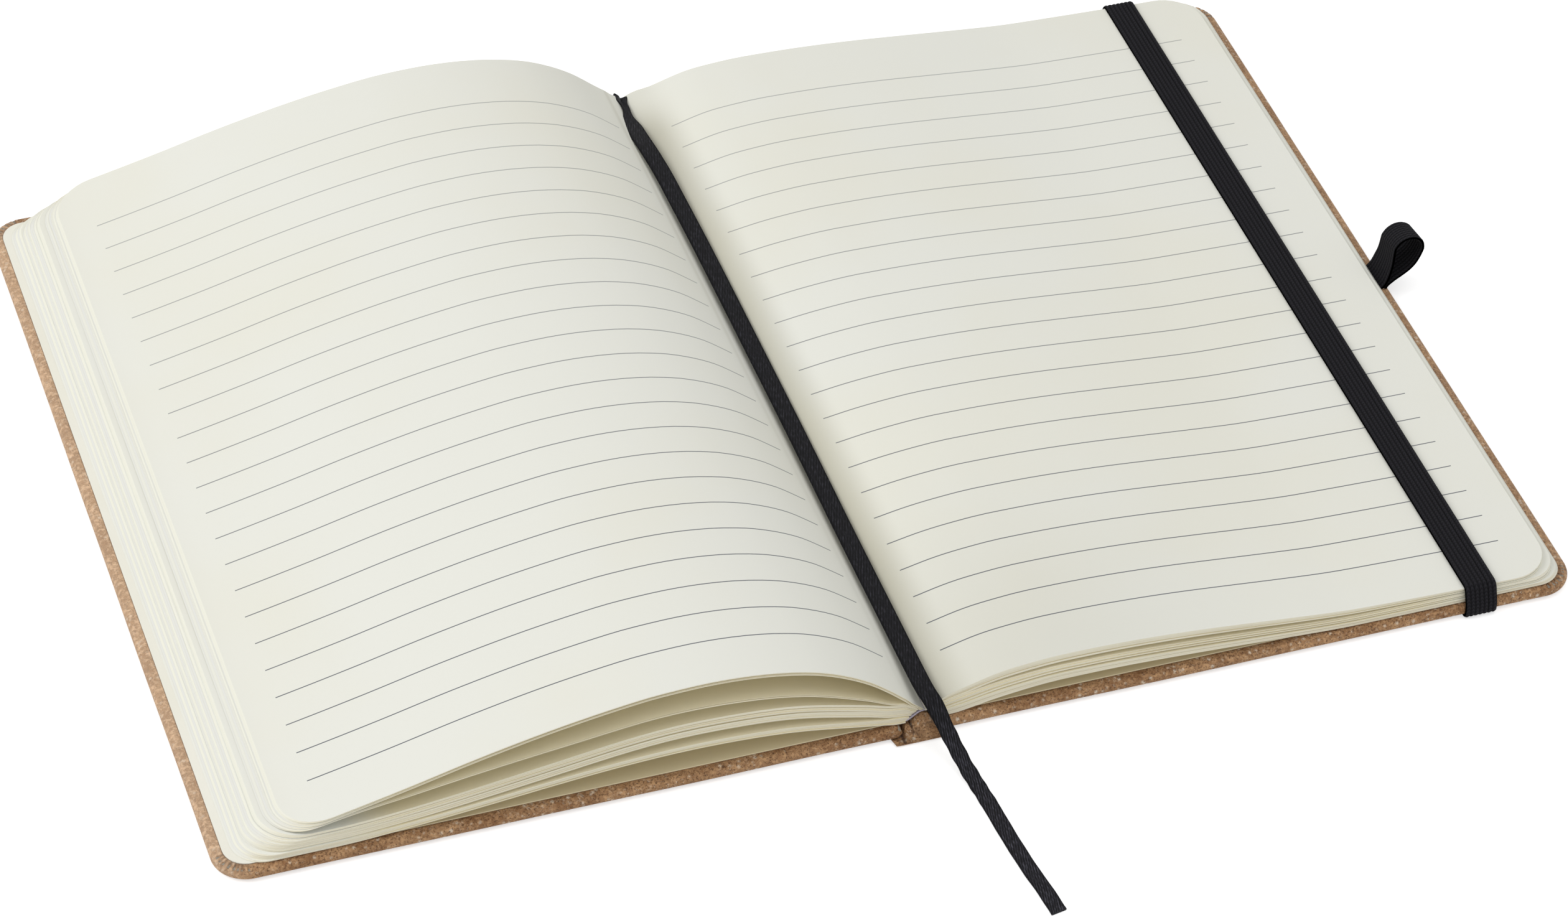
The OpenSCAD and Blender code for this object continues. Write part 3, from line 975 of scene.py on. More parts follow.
        def loose1(u: float) -> float:
            """Top of the loose leaves."""
            share = min(1.0, hermite(self.loose_shape, u))
            return lerp(up1(u) + self.loose_t, top0(u), share)

        def loose0(u: float) -> float:
            """Underside of the loose leaves."""
            return loose1(u) - self.loose_t

        long, reach = BOOK.left_longest, BOOK.left_reach
        fan = long - reach
        return [
            LeafBundle(low0, low1, long + 1.1, reach + 0.88 * fan, 5, (0.0, 0.24), corner=6.8, tail=0.3),
            LeafBundle(mid0, mid1, reach + 0.87 * fan, reach + 0.7 * fan, 5, (0.24, 0.5), corner=8.2),
            LeafBundle(up0, up1, reach + 0.67 * fan, reach + 0.45 * fan, 5, (0.5, 0.72)),
            LeafBundle(loose0, loose1, reach + 0.36 * fan, reach + 0.2 * fan, 3, (0.72, 0.84), loose=0.5),
            LeafBundle(top0, top1, reach + 0.14 * fan, reach, 4, (0.84, 1.0), loose=0.12, rise=(1.0, 1.0)),
        ]

    def _right(self) -> list[LeafBundle]:
        """Bundles of the flatter right side.

        Returns:
            The bundles, from the cover up.
        """

        def scale(u: float) -> float:
            """How far the leaves spread there."""
            return 1 + (self.spread - 1) * positive(self.spread_shape, u)

        def slit(u: float) -> float:
            """Share of a slit's full width there."""
            return positive(self.slit_shape, u)

        def level(k: int, u: float) -> float:
            """Underside of bundle k."""
            base = BOOK.paste_top + self.right_lift * positive(self.right_shape, u)
            return base + scale(u) * sum(self.right_t[:k]) + self.slit / 2 * slit(u) * k

        def under(k: int) -> Callable[[float], float]:
            """Height curve of bundle k's underside."""
            return lambda u: level(k, u)

        def over(k: int) -> Callable[[float], float]:
            """Height curve of bundle k's top."""
            return lambda u: level(k, u) + scale(u) * self.right_t[k] - self.right_slits[k] * slit(u)

        long, reach = BOOK.right_longest, BOOK.right_reach
        fan = long - reach
        return [
            LeafBundle(
                under(0), over(0), long + 0.7, reach + 0.84 * fan, 4, (0.0, 0.36),
                corner=6.0, rise=(0.05, 0.3), tail=0.6,
            ),
            LeafBundle(
                under(1), over(1), reach + 0.78 * fan, reach + 0.52 * fan, 4, (0.36, 0.7),
                corner=7.0, rise=(0.3, 0.5), tail=0.4,
            ),
            LeafBundle(
                under(2), over(2), reach + 0.14 * fan, reach, 4, (0.7, 1.0),
                loose=0.1, rise=(0.72, 1.0), tail=0.2,
            ),
        ]

    def lift_at(self, u: float, y: float) -> float:
        """Extra height of the top leaves: a swell on the right, a shallower dip at the left page's ends.

        Args:
            u: Share of the longest reach.
            y: Place along the page.

        Returns:
            The height that the top leaf gains there.
        """
        if self.side is Side.FRONT:
            return self.dip_ends * (1 - smooth(0.0, self.dip_reach, u)) * (1 - smooth(80.0, 102.0, abs(y)))
        rise = lerp(self.head_rise, self.tail_rise, smooth(30.0, -100.0, y))
        more = self.stack_more * smooth(0.0, 0.15, u) * (1 - 0.6 * smooth(0.85, 1.0, u))
        deep = self.head_hollow * smooth(30.0, 103.0, y) + self.tail_hollow * smooth(-30.0, -103.0, y)
        hollow = deep * smooth(0.0, 0.02, u) * (1 - smooth(0.01, 0.13, u))
        return rise * positive(self.swell, u) + more - hollow

    def end_drop(self, u: float, y: float) -> float:
        """How much lower the gutter is close to the tail."""
        return self.tail_drop * smooth(-85.0, -103.0, y) * (1 - smooth(0.0, 0.055, u))

    def start(self, share: float) -> float:
        """Sideways distance from the gutter line at which a leaf leaves the arched back."""
        return self.arch_half * (1 - share)

    def build(self, material: bpy.types.Material) -> bpy.types.Object:
        """Make the leaves of this side as one piece.

        Args:
            material: Ruled paper.

        Returns:
            The leaves.
        """
        rng = random.Random(self.seed + (7 if self.side is Side.BACK else 0))
        draft = MeshDraft()
        bundles = self.bundles()
        for number, bundle in enumerate(bundles):
            for k in range(bundle.packs):
                last = number == len(bundles) - 1 and k == bundle.packs - 1
                self._pack(draft, bundle, k, rng, last)
        return draft.build(f"leaves_{self.side.name.lower()}", material, angle=40)

    def _pack(self, draft: MeshDraft, bundle: LeafBundle, k: int, rng: random.Random, last: bool) -> None:
        """Add one thin pack of a bundle, whose outer edge slants as the leaves fan out.

        Args:
            draft: Mesh that gets the pack.
            bundle: The bundle that it belongs to.
            k: Its number in the bundle, from the cover up.
            rng: Source of the leaves' unevenness.
            last: Whether its top is the open page.
        """
        a, b = k / bundle.packs, (k + 1) / bundle.packs
        shift = 0.0 if last else rng.uniform(-0.3, 0.15)
        half_h = BOOK.leaf_h / 2 - (0 if last else rng.uniform(0.0, 0.3))
        wave = [rng.uniform(-1, 1) for _ in range(3)]
        slack = 0.0 if last else rng.choice((0.02, 0.03, 0.05, 0.11))
        root = [lerp(*bundle.root, t) for t in (a, b)]
        begin = self.start(sum(root) / 2)
        sheets = []
        for share, up in ((a, root[0]), (b, root[1])):
            reach = lerp(bundle.reach_low, bundle.reach_high, share) + shift
            rows = []
            for x in self._stations(begin, reach, bundle.corner):
                u = x / self.longest
                blend = smooth(0.0, self.root_end * 1.6, u - begin / self.longest * 0.6)
                z = lerp(bundle.low(u), bundle.high(u), share)
                z = lerp(lerp(BOOK.paste_top, self._crest(u), up), z, blend)
                gain = lerp(*bundle.rise, share) * blend
                z -= bundle.loose * math.sin(math.pi * min(1.0, u / 0.95)) * (1 - b)
                if share == b:
                    z -= slack * (0.3 + 0.7 * math.sin(math.pi * min(1.0, u)) ** 2) * blend
                cut = self._cut(x, reach, bundle.corner)
                head, tail = half_h - cut, -half_h - bundle.tail + cut
                row = []
                for j in range(self.rows + 1):
                    y = lerp(tail, head, j / self.rows)
                    high = z + gain * self.lift_at(u, y) - up * self.end_drop(u, y)
                    high += 0.0 if last else self._sway(wave, x, y) * blend
                    row.append((BOOK.gutter_x + self.side.value * x, y, high))
                rows.append(row)
            sheets.append(rows)
        self._shell(draft, sheets[1], sheets[0], last, rng.random())

    @staticmethod
    def _sway(wave: Sequence[float], x: float, y: float) -> float:
        """Slight unevenness of a leaf, set by three random numbers."""
        return 0.04 * (wave[0] * math.sin(y * 0.05 + wave[1] * 3) + wave[2] * math.sin(x * 0.06 + y * 0.03))

    def _crest(self, u: float) -> float:
        """Height of the open page, with the straight crease beside the gutter.

        Args:
            u: Share of the longest reach.

        Returns:
            The height.
        """
        left = self.side is Side.FRONT
        limit = self.root_end if left else self.right_root_end
        top = self.page_curve(max(u, limit))
        if u < limit:
            top = lerp(self.valley_z, top, max(0.0, u) / limit)
        away = (u * self.longest - self.crease_x) / self.crease_half
        return top - (self.crease_depth * math.exp(-(away**2)) if left else 0.0)

    @cached_property
    def page_curve(self) -> Callable[[float], float]:
        """Height curve of the open page, past the gutter."""
        return self.bundles()[-1].high

    def _stations(self, begin: float, reach: float, radius: float) -> list[float]:
        """Distances from the gutter line at which the leaf's section is drawn.

        Args:
            begin: Where the leaf leaves the arched back.
            reach: Where it ends.
            radius: Radius of its outer corners.

        Returns:
            The distances, closer where the leaf bends.
        """
        bent = [lerp(begin, self.bend_end, (i / self.bend_steps) ** 1.15) for i in range(self.bend_steps)]
        last = self.flat_steps - 1
        flat = [lerp(self.bend_end, reach - radius, i / last) for i in range(last + 1)]
        turns = [math.pi / 2 * i / self.corner_steps for i in range(1, self.corner_steps + 1)]
        return bent + flat + [reach - radius + radius * math.sin(a) for a in turns]

    @staticmethod
    def _cut(x: float, reach: float, radius: float) -> float:
        """How much a round outer corner takes off the leaf's height at x."""
        over = max(0.0, x - (reach - radius))
        return radius - math.sqrt(max(0.0, radius**2 - over**2))

    def _shell(
        self, draft: MeshDraft, tops: list[list[Point]], unders: list[list[Point]], last: bool, tint: float
    ) -> None:
        """Close one pack from its top and underside rows.

        Args:
            draft: Mesh that gets the pack.
            tops: Rows of the top, from the gutter out.
            unders: Rows of the underside.
            last: Whether the top is the open page.
            tint: The pack's random number, for its edges.
        """
        ruled = 1.0 if last else 0.0
        top = [[draft.point(p, ruled=ruled) for p in row] for row in tops]
        low = [[draft.point(p) for p in row] for row in unders]
        draft.grid(top)
        draft.grid(low, flip=True)
        n, far = self.rows, len(tops) - 1
        walk = [(i, 0) for i in range(far + 1)] + [(far, j) for j in range(1, n + 1)]
        walk += [(i, n) for i in range(far - 1, -1, -1)] + [(0, j) for j in range(n - 1, 0, -1)]
        run, last_point = 0.0, tops[0][0]
        upper, lower, runs = [], [], []
        for i, j in walk:
            p = tops[i][j]
            run += math.dist(p, last_point)
            last_point = p
            runs.append(run)
            fore = smooth(far - 7, far - 2, i)
            upper.append(draft.point(p, edge=1.0, fore=fore, tint=tint))
            lower.append(draft.point(unders[i][j], edge=1.0, fore=fore, tint=tint))
        count = len(walk)
        for i in range(count):
            j = (i + 1) % count
            u0, u1 = runs[i], runs[j] if j else runs[i]
            draft.face((lower[i], lower[j], upper[j], upper[i]), [(u0, 0), (u1, 0), (u1, 1), (u0, 1)])


# Covers and spine


def mirrored(line: Curve, middle: float = 0.0) -> list[tuple[float, float]]:
    """The line up to its last point, and back down the other side of the middle."""
    return list(line) + [(2 * middle - x, z) for x, z in line[-2::-1]]


@dataclass
class Cover:
    """Leather of one cover, wrapped round the board and turned in."""

    side: Side
    seed: int = 3
    plump: float = 0.4
    pleats: int = 9
    pleat_depth: float = 0.5
    long_steps: int = 45
    fore_steps: int = 36
    corner_steps: int = 90

    # Distance in from the edge and height, from the turn-in round to the underside
    profile: Curve = (
        (3.4, 2.88), (2.7, 2.88), (2.42, 2.88), (2.2, 2.92), (1.7, 2.93), (1.2, 2.86), (0.75, 2.7),
        (0.42, 2.48), (0.17, 2.16), (0.03, 1.8), (0.0, 1.48), (0.06, 1.14), (0.22, 0.82), (0.5, 0.55),
        (0.9, 0.38), (1.5, 0.3), (2.6, 0.3),
    )

    def outline(self) -> list[tuple[float, float, float, float, float]]:
        """Walk round the cover from the joint at the head to the joint at the tail.

        Returns:
            Points as x, y, the inward direction's x and y, and how far into a corner they are.
        """
        half, fore = BOOK.cover_h / 2 + self.plump, BOOK.fore_x + self.plump
        r, joint, long = BOOK.corner_r + self.plump, BOOK.joint_x, self.long_steps

        def corner(end: int, i: int) -> tuple[float, float, float, float, float]:
            """Point of a corner.

            Args:
                end: 1 for the corner at the head, -1 for the one at the tail.
                i: Number of the point in the corner.

            Returns:
                The point, as the outline gives it.
            """
            share = i / self.corner_steps
            a = math.pi / 2 * (1 - share if end > 0 else -share)
            along, across = math.sin(a), math.cos(a)
            return fore - r + r * across, end * (half - r) + r * along, -across, -along, share

        head = [(lerp(joint, fore - r, (i / long) ** 1.6), half, 0, -1, 0) for i in range(long)]
        shares = [i / self.fore_steps for i in range(1, self.fore_steps)]
        edge = [(fore, lerp(half - r, r - half, t), -1, 0, 0) for t in shares]
        shares = [1 - (1 - i / long) ** 1.6 for i in range(1, long + 1)]
        tail = [(lerp(fore - r, joint, t), -half, 0, 1, 0) for t in shares]
        turns = [[corner(end, i) for i in range(self.corner_steps + 1)] for end in (1, -1)]
        return head + turns[0] + edge + turns[1] + tail

    def build(self, material: bpy.types.Material) -> bpy.types.Object:
        """Make the leather skin of the cover.

        Args:
            material: Leather.

        Returns:
            The cover's leather.
        """
        rng = random.Random(self.seed + self.side.value)
        waves = [(rng.uniform(0.03, 0.12), rng.uniform(0, 6)) for _ in range(4)]
        creases = []
        for k in range(1, self.pleats):
            crease_at = (k + rng.uniform(-0.3, 0.3)) / self.pleats
            creases.append((crease_at, rng.uniform(0.6, 1.0)))
        # Painted light along the fore edge: full on the front cover, which faces the lamps, faint on the
        # back cover
        fore_light_share = 1.0 if self.side is Side.FRONT else 0.3
        draft = MeshDraft()
        rings = []
        for x, y, nx, ny, corner in self.outline():
            wobble = sum(math.sin((x + y) * w + p) for w, p in waves) * 0.025
            fold = max(self._fold(corner - c, depth) for c, depth in creases) if 0 < corner < 1 else 0.0
            roll = smooth(BOOK.joint_x + 1.5, BOOK.joint_x, x) ** 2
            ring = []
            for d, z in self.profile:
                upper = smooth(1.7, 2.5, z)
                crease = fold * upper * (0.2 + 0.8 * smooth(0.2, 1.2, d))
                deep = crease * (1 - 0.8 * smooth(1.4, 2.1, d))
                high = z - 0.8 * roll * upper - self.pleat_depth * deep + wobble * 0.4 * (d < 2)
                inward = d + 0.25 * deep + 0.7 * roll + wobble * (d < 1.5)
                # Painted shade along the turn-in's edge beside the endpaper, and in each pleat's crease
                seam = smooth(2.2, 2.42, d) * upper + 0.6 * crease
                at = (self.side.value * (x + nx * inward), y + ny * inward, high)
                ring.append(draft.point(at, seam=seam, wear=abs(nx) * fore_light_share))
            rings.append(ring)
        draft.grid(rings)
        draft.face([r[0] for r in rings])
        draft.face([r[-1] for r in reversed(rings)])
        draft.face(rings[0])
        draft.face(list(reversed(rings[-1])))
        return draft.build(f"leather_{self.side.name.lower()}", material, angle=50)

    @staticmethod
    def _fold(away: float, depth: float) -> float:
        """Depth of a pleat, steep on one side and easy on the other, at a share away from its crease."""
        return depth * math.exp(-((away * (46 if away < 0 else 24)) ** 2))


@dataclass
class Endpaper:
    """Endpaper pasted inside one cover."""

    side: Side
    low: float = 2.6
    rim: float = 0.06
    joint_gap: float = 1.6
    arc: int = 10

    def outline(self, inset: float) -> list[tuple[float, float]]:
        """Walk round the sheet.

        Args:
            inset: How far the line is drawn in all round.

        Returns:
            Points as x and y, for the back cover.
        """
        square = BOOK.endpaper_square + inset
        half, fore = BOOK.cover_h / 2 - square, BOOK.fore_x - square
        joint = BOOK.joint_x + self.joint_gap + inset
        r = BOOK.corner_r - square
        turns = [math.pi / 2 * i / self.arc for i in range(self.arc + 1)]
        line = [(joint, -half)]
        line += [(fore - r + r * math.sin(a), -half + r - r * math.cos(a)) for a in turns]
        line += [(fore - r + r * math.cos(a), half - r + r * math.sin(a)) for a in turns]
        return line + [(joint, half)]

    def build(self, material: bpy.types.Material) -> bpy.types.Object:
        """Make the endpaper.

        Args:
            material: Endpaper.

        Returns:
            The endpaper.
        """
        draft = MeshDraft()
        levels = ((self.low, 0.0), (BOOK.paste_top - self.rim, 0.0), (BOOK.paste_top, self.rim))
        side = self.side.value
        rings = [[draft.point((side * x, y, z)) for x, y in self.outline(inset)] for z, inset in levels]
        draft.grid(rings, closed=True)
        draft.face(list(reversed(rings[0])))
        draft.face(rings[-1])
        return draft.build(f"endpaper_{self.side.name.lower()}", material)


@dataclass
class Spine:
    """Leather over the spine, whose ends roll over beside the joint grooves."""

    steps: int = 42
    push: float = 2.2
    head_push: float = 0.3
    fold_x: float = 1.94
    cap_height: float = 2.7
    middle: float = 0.9

    def section(self) -> list[tuple[float, float]]:
        """Closed section of the leather: underneath, then back over both joint grooves.

        Returns:
            Points in X and Z.
        """
        under = [
            (-6.6, 0.34), (-6.0, 0.16), (-5.2, 0.06), (-4.4, 0.03), (-3.3, 0.03), (-1.6, 0.03), (0.0, 0.03),
        ]
        over = [
            (6.6, 0.42), (4.6, 0.46), (4.2, 0.46), (3.9, 0.5), (3.7, 0.75), (3.55, 1.2), (3.46, 1.7),
            (3.34, 2.2), (3.12, 2.52), (2.82, 2.66), (2.5, 2.6), (2.28, 2.4), (2.1, 2.12), (2.0, 1.86),
            (1.88, 1.84), (1.72, 2.0), (1.4, 2.12), (1.0, 2.15), (0.5, 2.15), (0.0, 2.15),
        ]
        return mirrored(under) + mirrored(over)

    def groove(self, x: float, z: float) -> float:
        """Painted shade in the joint grooves and in the fine fold beside each roll."""
        joint = smooth(0.6, 0.1, abs(abs(x) - BOOK.joint_x)) * smooth(1.8, 0.8, z) * (z > 0.4)
        return max(joint, 0.7 * smooth(0.25, 0.05, abs(abs(x) - self.fold_x)) * (z > 1.7))

    def bulge(self, x: float, z: float) -> float:
        """How far the end stands out past the covers, or draws in beside a groove.

        Args:
            x: Place across the spine.
            z: Height.

        Returns:
            The distance, in millimetres.
        """
        sag = self.push * smooth(6.6, 6.0, abs(x)) * smooth(2.5, 0.5, z)
        inward = 0.6 * smooth(2.7, 3.5, abs(x)) * smooth(0.5, 1.4, z)
        return sag - inward - 0.3 * smooth(0.3, 0.05, abs(abs(x) - self.fold_x)) * (z > 1.0)

    def cap(self, x: float, y: float, z: float) -> float:
        """How far the leather swells up under the arched lining, close to the head and tail."""
        arch = max(0.0, 1 - ((x - 0.8) / 2.9) ** 2) * smooth(3.0, 2.2, abs(x - 0.4))
        return self.cap_height * arch * smooth(1.7, 1.85, z) * smooth(98.0, 102.5, abs(y))

    def build(self, material: bpy.types.Material) -> bpy.types.Object:
        """Make the spine's leather.

        Args:
            material: Leather.

        Returns:
            The spine's leather.
        """
        draft = MeshDraft()
        half = BOOK.cover_h / 2
        section = self.section()
        rows = []
        ends = [(0.0, 0.35), (0.05, 0.6), (0.18, 0.8), (0.42, 0.94), (0.9, 1.0)]
        ys = [(-half + d, s) for d, s in ends]
        ys += [(lerp(-half + 2, half - 2, i / self.steps), 1.0) for i in range(self.steps + 1)]
        ys += [(half - d, s) for d, s in reversed(ends)]
        for y, s in ys:
            row = []
            for x, z in section:
                out = y * (1 + self.bulge(x, z) * (1.0 if y < 0 else self.head_push) / half)
                high = self.middle + (z - self.middle) * s + self.cap(x, y, z)
                # Each point stores the painted shade of the grooves
                row.append(draft.point((x, out, high), seam=self.groove(x, z)))
            rows.append(row)
        draft.grid(rows, closed=True)
        draft.face(list(reversed(rows[0])))
        draft.face(rows[-1])
        return draft.build("leather_spine", material, angle=50)


@dataclass
class Lining:
    """Cloth and paper strip on the arched back of the leaves."""

    inset: float = 0.2
    steps: int = 40
    sink: float = 0.27

    # One half of the outer and the inner line of the arch, up to the gutter
    outer: Curve = ((-3.2, 3.1), (-1.6, 4.72), (-0.35, 5.95), (0.3, 6.2), (1.0, 6.24))
    inner: Curve = ((-2.6, 3.1), (-1.2, 4.42), (-0.15, 5.5), (0.4, 5.74), (1.0, 5.78))

    def build(self, material: bpy.types.Material) -> bpy.types.Object:
        """Make the lining.

        Args:
            material: Lining cloth.

        Returns:
            The lining.
        """
        draft = MeshDraft()
        outer, inner = (mirrored(line, BOOK.gutter_x) for line in (self.outer, self.inner))
        section = outer + inner[::-1]
        half, foot = BOOK.leaf_h / 2 - self.inset, BOOK.paste_top
        rows = []
        for i in range(self.steps + 1):
            y = lerp(-half, half, i / self.steps)
            low = 1 - self.sink * smooth(-85.0, -103.0, y)
            rows.append([draft.point((x, y, foot + (z - foot) * low)) for x, z in section])
        draft.grid(rows, closed=True)
        draft.face(list(reversed(rows[0])))
        draft.face(rows[-1])
        return draft.build("spine_lining_cloth", material, angle=40)


# Elastic


@dataclass
class ElasticTape:
    """Ribbed elastic swept along a route by Geometry Nodes."""

    name: str
    route: list[Point]
    width: float
    thickness: float
    ribs: int
    across: Point
    around: int = 156
    rib_share: float = 0.24
    corner_share: float = 1.3

    def tree(self) -> bpy.types.NodeTree:
        """Build the node group that sweeps a ribbed section along a curve.

        Returns:
            The group, with named inputs for its sizes.
        """
        group = bpy.data.node_groups.new(f"{self.name}_sweep", "GeometryNodeTree")
        kinds = {"Geometry": "Geometry", "Width": "Float", "Thickness": "Float", "Rib Depth": "Float"}
        kinds |= {"Ribs": "Float", "Corner": "Float", "Across": "Vector", "Material": "Material"}
        for label, kind in kinds.items():
            group.interface.new_socket(label, in_out="INPUT", socket_type=f"NodeSocket{kind}")
        group.interface.new_socket("Geometry", in_out="OUTPUT", socket_type="NodeSocketGeometry")
        n = Nodes(group)
        ports = n.add("NodeGroupInput").out.node.outputs
        given = {label: Sock(n, ports[label]) for label in kinds}
        lie = {"Curve": given["Geometry"], "Normal": given["Across"]}
        turned = n.add("GeometryNodeSetCurveNormal", {"mode": "FREE"}, lie)
        run = n.add("GeometryNodeSplineParameter", output="Length") * (1 / MM)
        measured = self._mark(n, turned, "along", run)
        sweep = {"Curve": measured, "Profile Curve": self._section(n, given), "Fill Caps": True}
        swept = n.add("GeometryNodeCurveToMesh", {}, sweep)
        real = n.add("GeometryNodeRealizeInstances", {}, {"Geometry": swept})
        dressed = n.add("GeometryNodeSetMaterial", {}, {"Geometry": real, "Material": given["Material"]})
        n.add("NodeGroupOutput", {}, {"Geometry": dressed})
        return group

    @staticmethod
    def _mark(n: Nodes, shape: Sock, name: str, value: Sock) -> Sock:
        """Store a number on each of a shape's points.

        Args:
            n: Builder of the group.
            shape: The shape.
            name: The attribute's name.
            value: The number.

        Returns:
            The shape with the attribute.
        """
        kind = {"data_type": "FLOAT", "domain": "POINT"}
        values = {"Geometry": shape, "Name": name, "Value": value}
        return n.add("GeometryNodeStoreNamedAttribute", kind, values)

    def _section(self, n: Nodes, given: dict[str, Sock]) -> Sock:
        """Draw the tape's section, with a hollow between each two ribs and thinner edges.

        Args:
            n: Builder of the group.
            given: The group's inputs by name.

        Returns:
            The section's curve.
        """
        width = given["Width"]
        sides = {"Width": width, "Height": given["Thickness"]}
        quad = n.add("GeometryNodeCurvePrimitiveQuadrilateral", {}, sides)
        fine = n.add("GeometryNodeResampleCurve", {}, {"Curve": quad, "Count": self.around})
        x, y, _ = n.split(n.add("GeometryNodeInputPosition"))
        share = x / width + 0.5
        marked = self._mark(n, fine, "across", (share * given["Ribs"]).frac() - 0.5)
        ribs = ((share * math.pi * given["Ribs"]).sin().abs().power(0.7) - 1) * given["Rib Depth"]
        thinner = ((share - 0.5).abs() * 2 - 0.9).at_least(0.0) * given["Corner"]
        offset = n.join(0.0, (ribs - thinner) * y.sign(), 0.0)
        return n.add("GeometryNodeSetPosition", {}, {"Geometry": marked, "Offset": offset})

    def build(self, material: bpy.types.Material) -> bpy.types.Object:
        """Sweep the tape and bake it to a plain mesh.

        Args:
            material: Elastic.

        Returns:
            The finished tape.
        """
        curve = bpy.data.curves.new(f"{self.name}_route", "CURVE")
        curve.dimensions = "3D"
        spline = curve.splines.new("POLY")
        spline.points.add(len(self.route) - 1)
        for point, place in zip(spline.points, self.route):
            point.co = (place[0] * MM, place[1] * MM, place[2] * MM, 1.0)
        source = bpy.data.objects.new(f"{self.name}_route", curve)
        bpy.context.scene.collection.objects.link(source)
        modifier = source.modifiers.new("sweep", "NODES")
        modifier.node_group = self.tree()
        values = {
            "Width": self.width * MM,
            "Thickness": self.thickness * MM,
            "Rib Depth": self.rib_share * self.thickness * MM,
            "Ribs": float(self.ribs),
            "Corner": self.corner_share * self.thickness * MM,
            "Across": self.across,
            "Material": material,
        }
        for item in modifier.node_group.interface.items_tree:
            if item.in_out == "INPUT" and item.name in values:
                modifier[item.identifier] = values[item.name]
        bpy.context.view_layer.update()
        graph = bpy.context.evaluated_depsgraph_get()
        mesh = bpy.data.meshes.new_from_object(source.evaluated_get(graph))
        bpy.data.objects.remove(source)
        mesh.name = self.name
        outward(mesh)
        mesh.shade_smooth()
        mesh.set_sharp_from_angle(angle=math.radians(60))
        obj = bpy.data.objects.new(self.name, mesh)
        bpy.context.scene.collection.objects.link(obj)
        return obj


def rounded(points: Curve, radius: float, steps: int = 8) -> list[tuple[float, float]]:
    """Round the corners of an open line.

    Args:
        points: Corners of the line.
        radius: Radius of each bend, less where there is no room.
        steps: Points on each bend.

    Returns:
        The rounded line.
    """
    result = [points[0]]
    for a, b, c in zip(points, points[1:], points[2:]):
        va, vb, vc = Vector(a), Vector(b), Vector(c)
        room = min((va - vb).length, (vc - vb).length) * 0.49
        cut = min(radius, room)
        p, q = vb + (va - vb).normalized() * cut, vb + (vc - vb).normalized() * cut
        for i in range(steps + 1):
            t = i / steps
            spot = p * (1 - t) ** 2 + vb * 2 * t * (1 - t) + q * t**2
            result.append((spot.x, spot.y))
    result.append(points[-1])
    return result


def through(points: Sequence[Point], steps: int) -> list[Vector]:
    """Smooth line through points.

    Args:
        points: Places that the line passes through.
        steps: Pieces between each two of them.

    Returns:
        The points of the smooth line.
    """
    pts = [Vector(p) for p in points]
    out: list[Vector] = []
    for i in range(len(pts) - 1):
        p0, p1, p2, p3 = pts[max(i - 1, 0)], pts[i], pts[i + 1], pts[min(i + 2, len(pts) - 1)]
        for k in range(steps):
            t = k / steps
            square = (2 * p0 - 5 * p1 + 4 * p2 - p3) * t * t
            cube = (3 * p1 - p0 - 3 * p2 + p3) * t**3
            out.append(0.5 * (2 * p1 + (p2 - p0) * t + square + cube))
    out.append(pts[-1])
    return out


@dataclass
class ClosureBand:
    """Elastic band stretched over the right leaves and round the back cover."""

    x: float = 123.9
    width: float = 7.0
    thickness: float = 0.8
    ribs: int = 7
    top: float = 7.3
    tilt: float = 0.3
    clear: float = 0.9
    shoulder: float = 1.7
    under: float = 0.42
    slot: float = 91.5
    bed: float = 2.1
    foot: float = 8.0
    bend: float = 1.1
    piece: float = 5.0

    def build(self, material: bpy.types.Material) -> bpy.types.Object:
        """Make the band.

        Args:
            material: Elastic.

        Returns:
            The band.
        """
        half = BOOK.cover_h / 2 + self.clear
        over = [(y, self.top) for y in (0.0, 40.0, 80.0, half - self.shoulder)]
        edge = [(half, 3.0), (half, self.under), (self.slot, self.under)]
        end = [(self.slot, self.bed), (self.slot - self.foot, self.bed)]
        line = self._dense(rounded(over + edge + end, self.bend))
        line = [(-y, z) for y, z in reversed(line)] + line[1:]
        route = [(self.x, y, z - self.tilt * smooth(-90.0, 100.0, y) * smooth(2.0, 6.0, z)) for y, z in line]
        tape = ElasticTape("closure_elastic", route, self.width, self.thickness, self.ribs, (1.0, 0.0, 0.0))
        return tape.build(material)

    def _dense(self, line: Curve) -> list[tuple[float, float]]:
        """Add points to the long straight stretches.

        Args:
            line: The line's points.

        Returns:
            The same line, with no stretch much longer than a piece.
        """
        result = [line[0]]
        for a, b in zip(line, line[1:]):
            count = max(1, int(math.dist(a, b) / self.piece))
            shares = [i / count for i in range(1, count + 1)]
            result += [(lerp(a[0], b[0], t), lerp(a[1], b[1], t)) for t in shares]
        return result


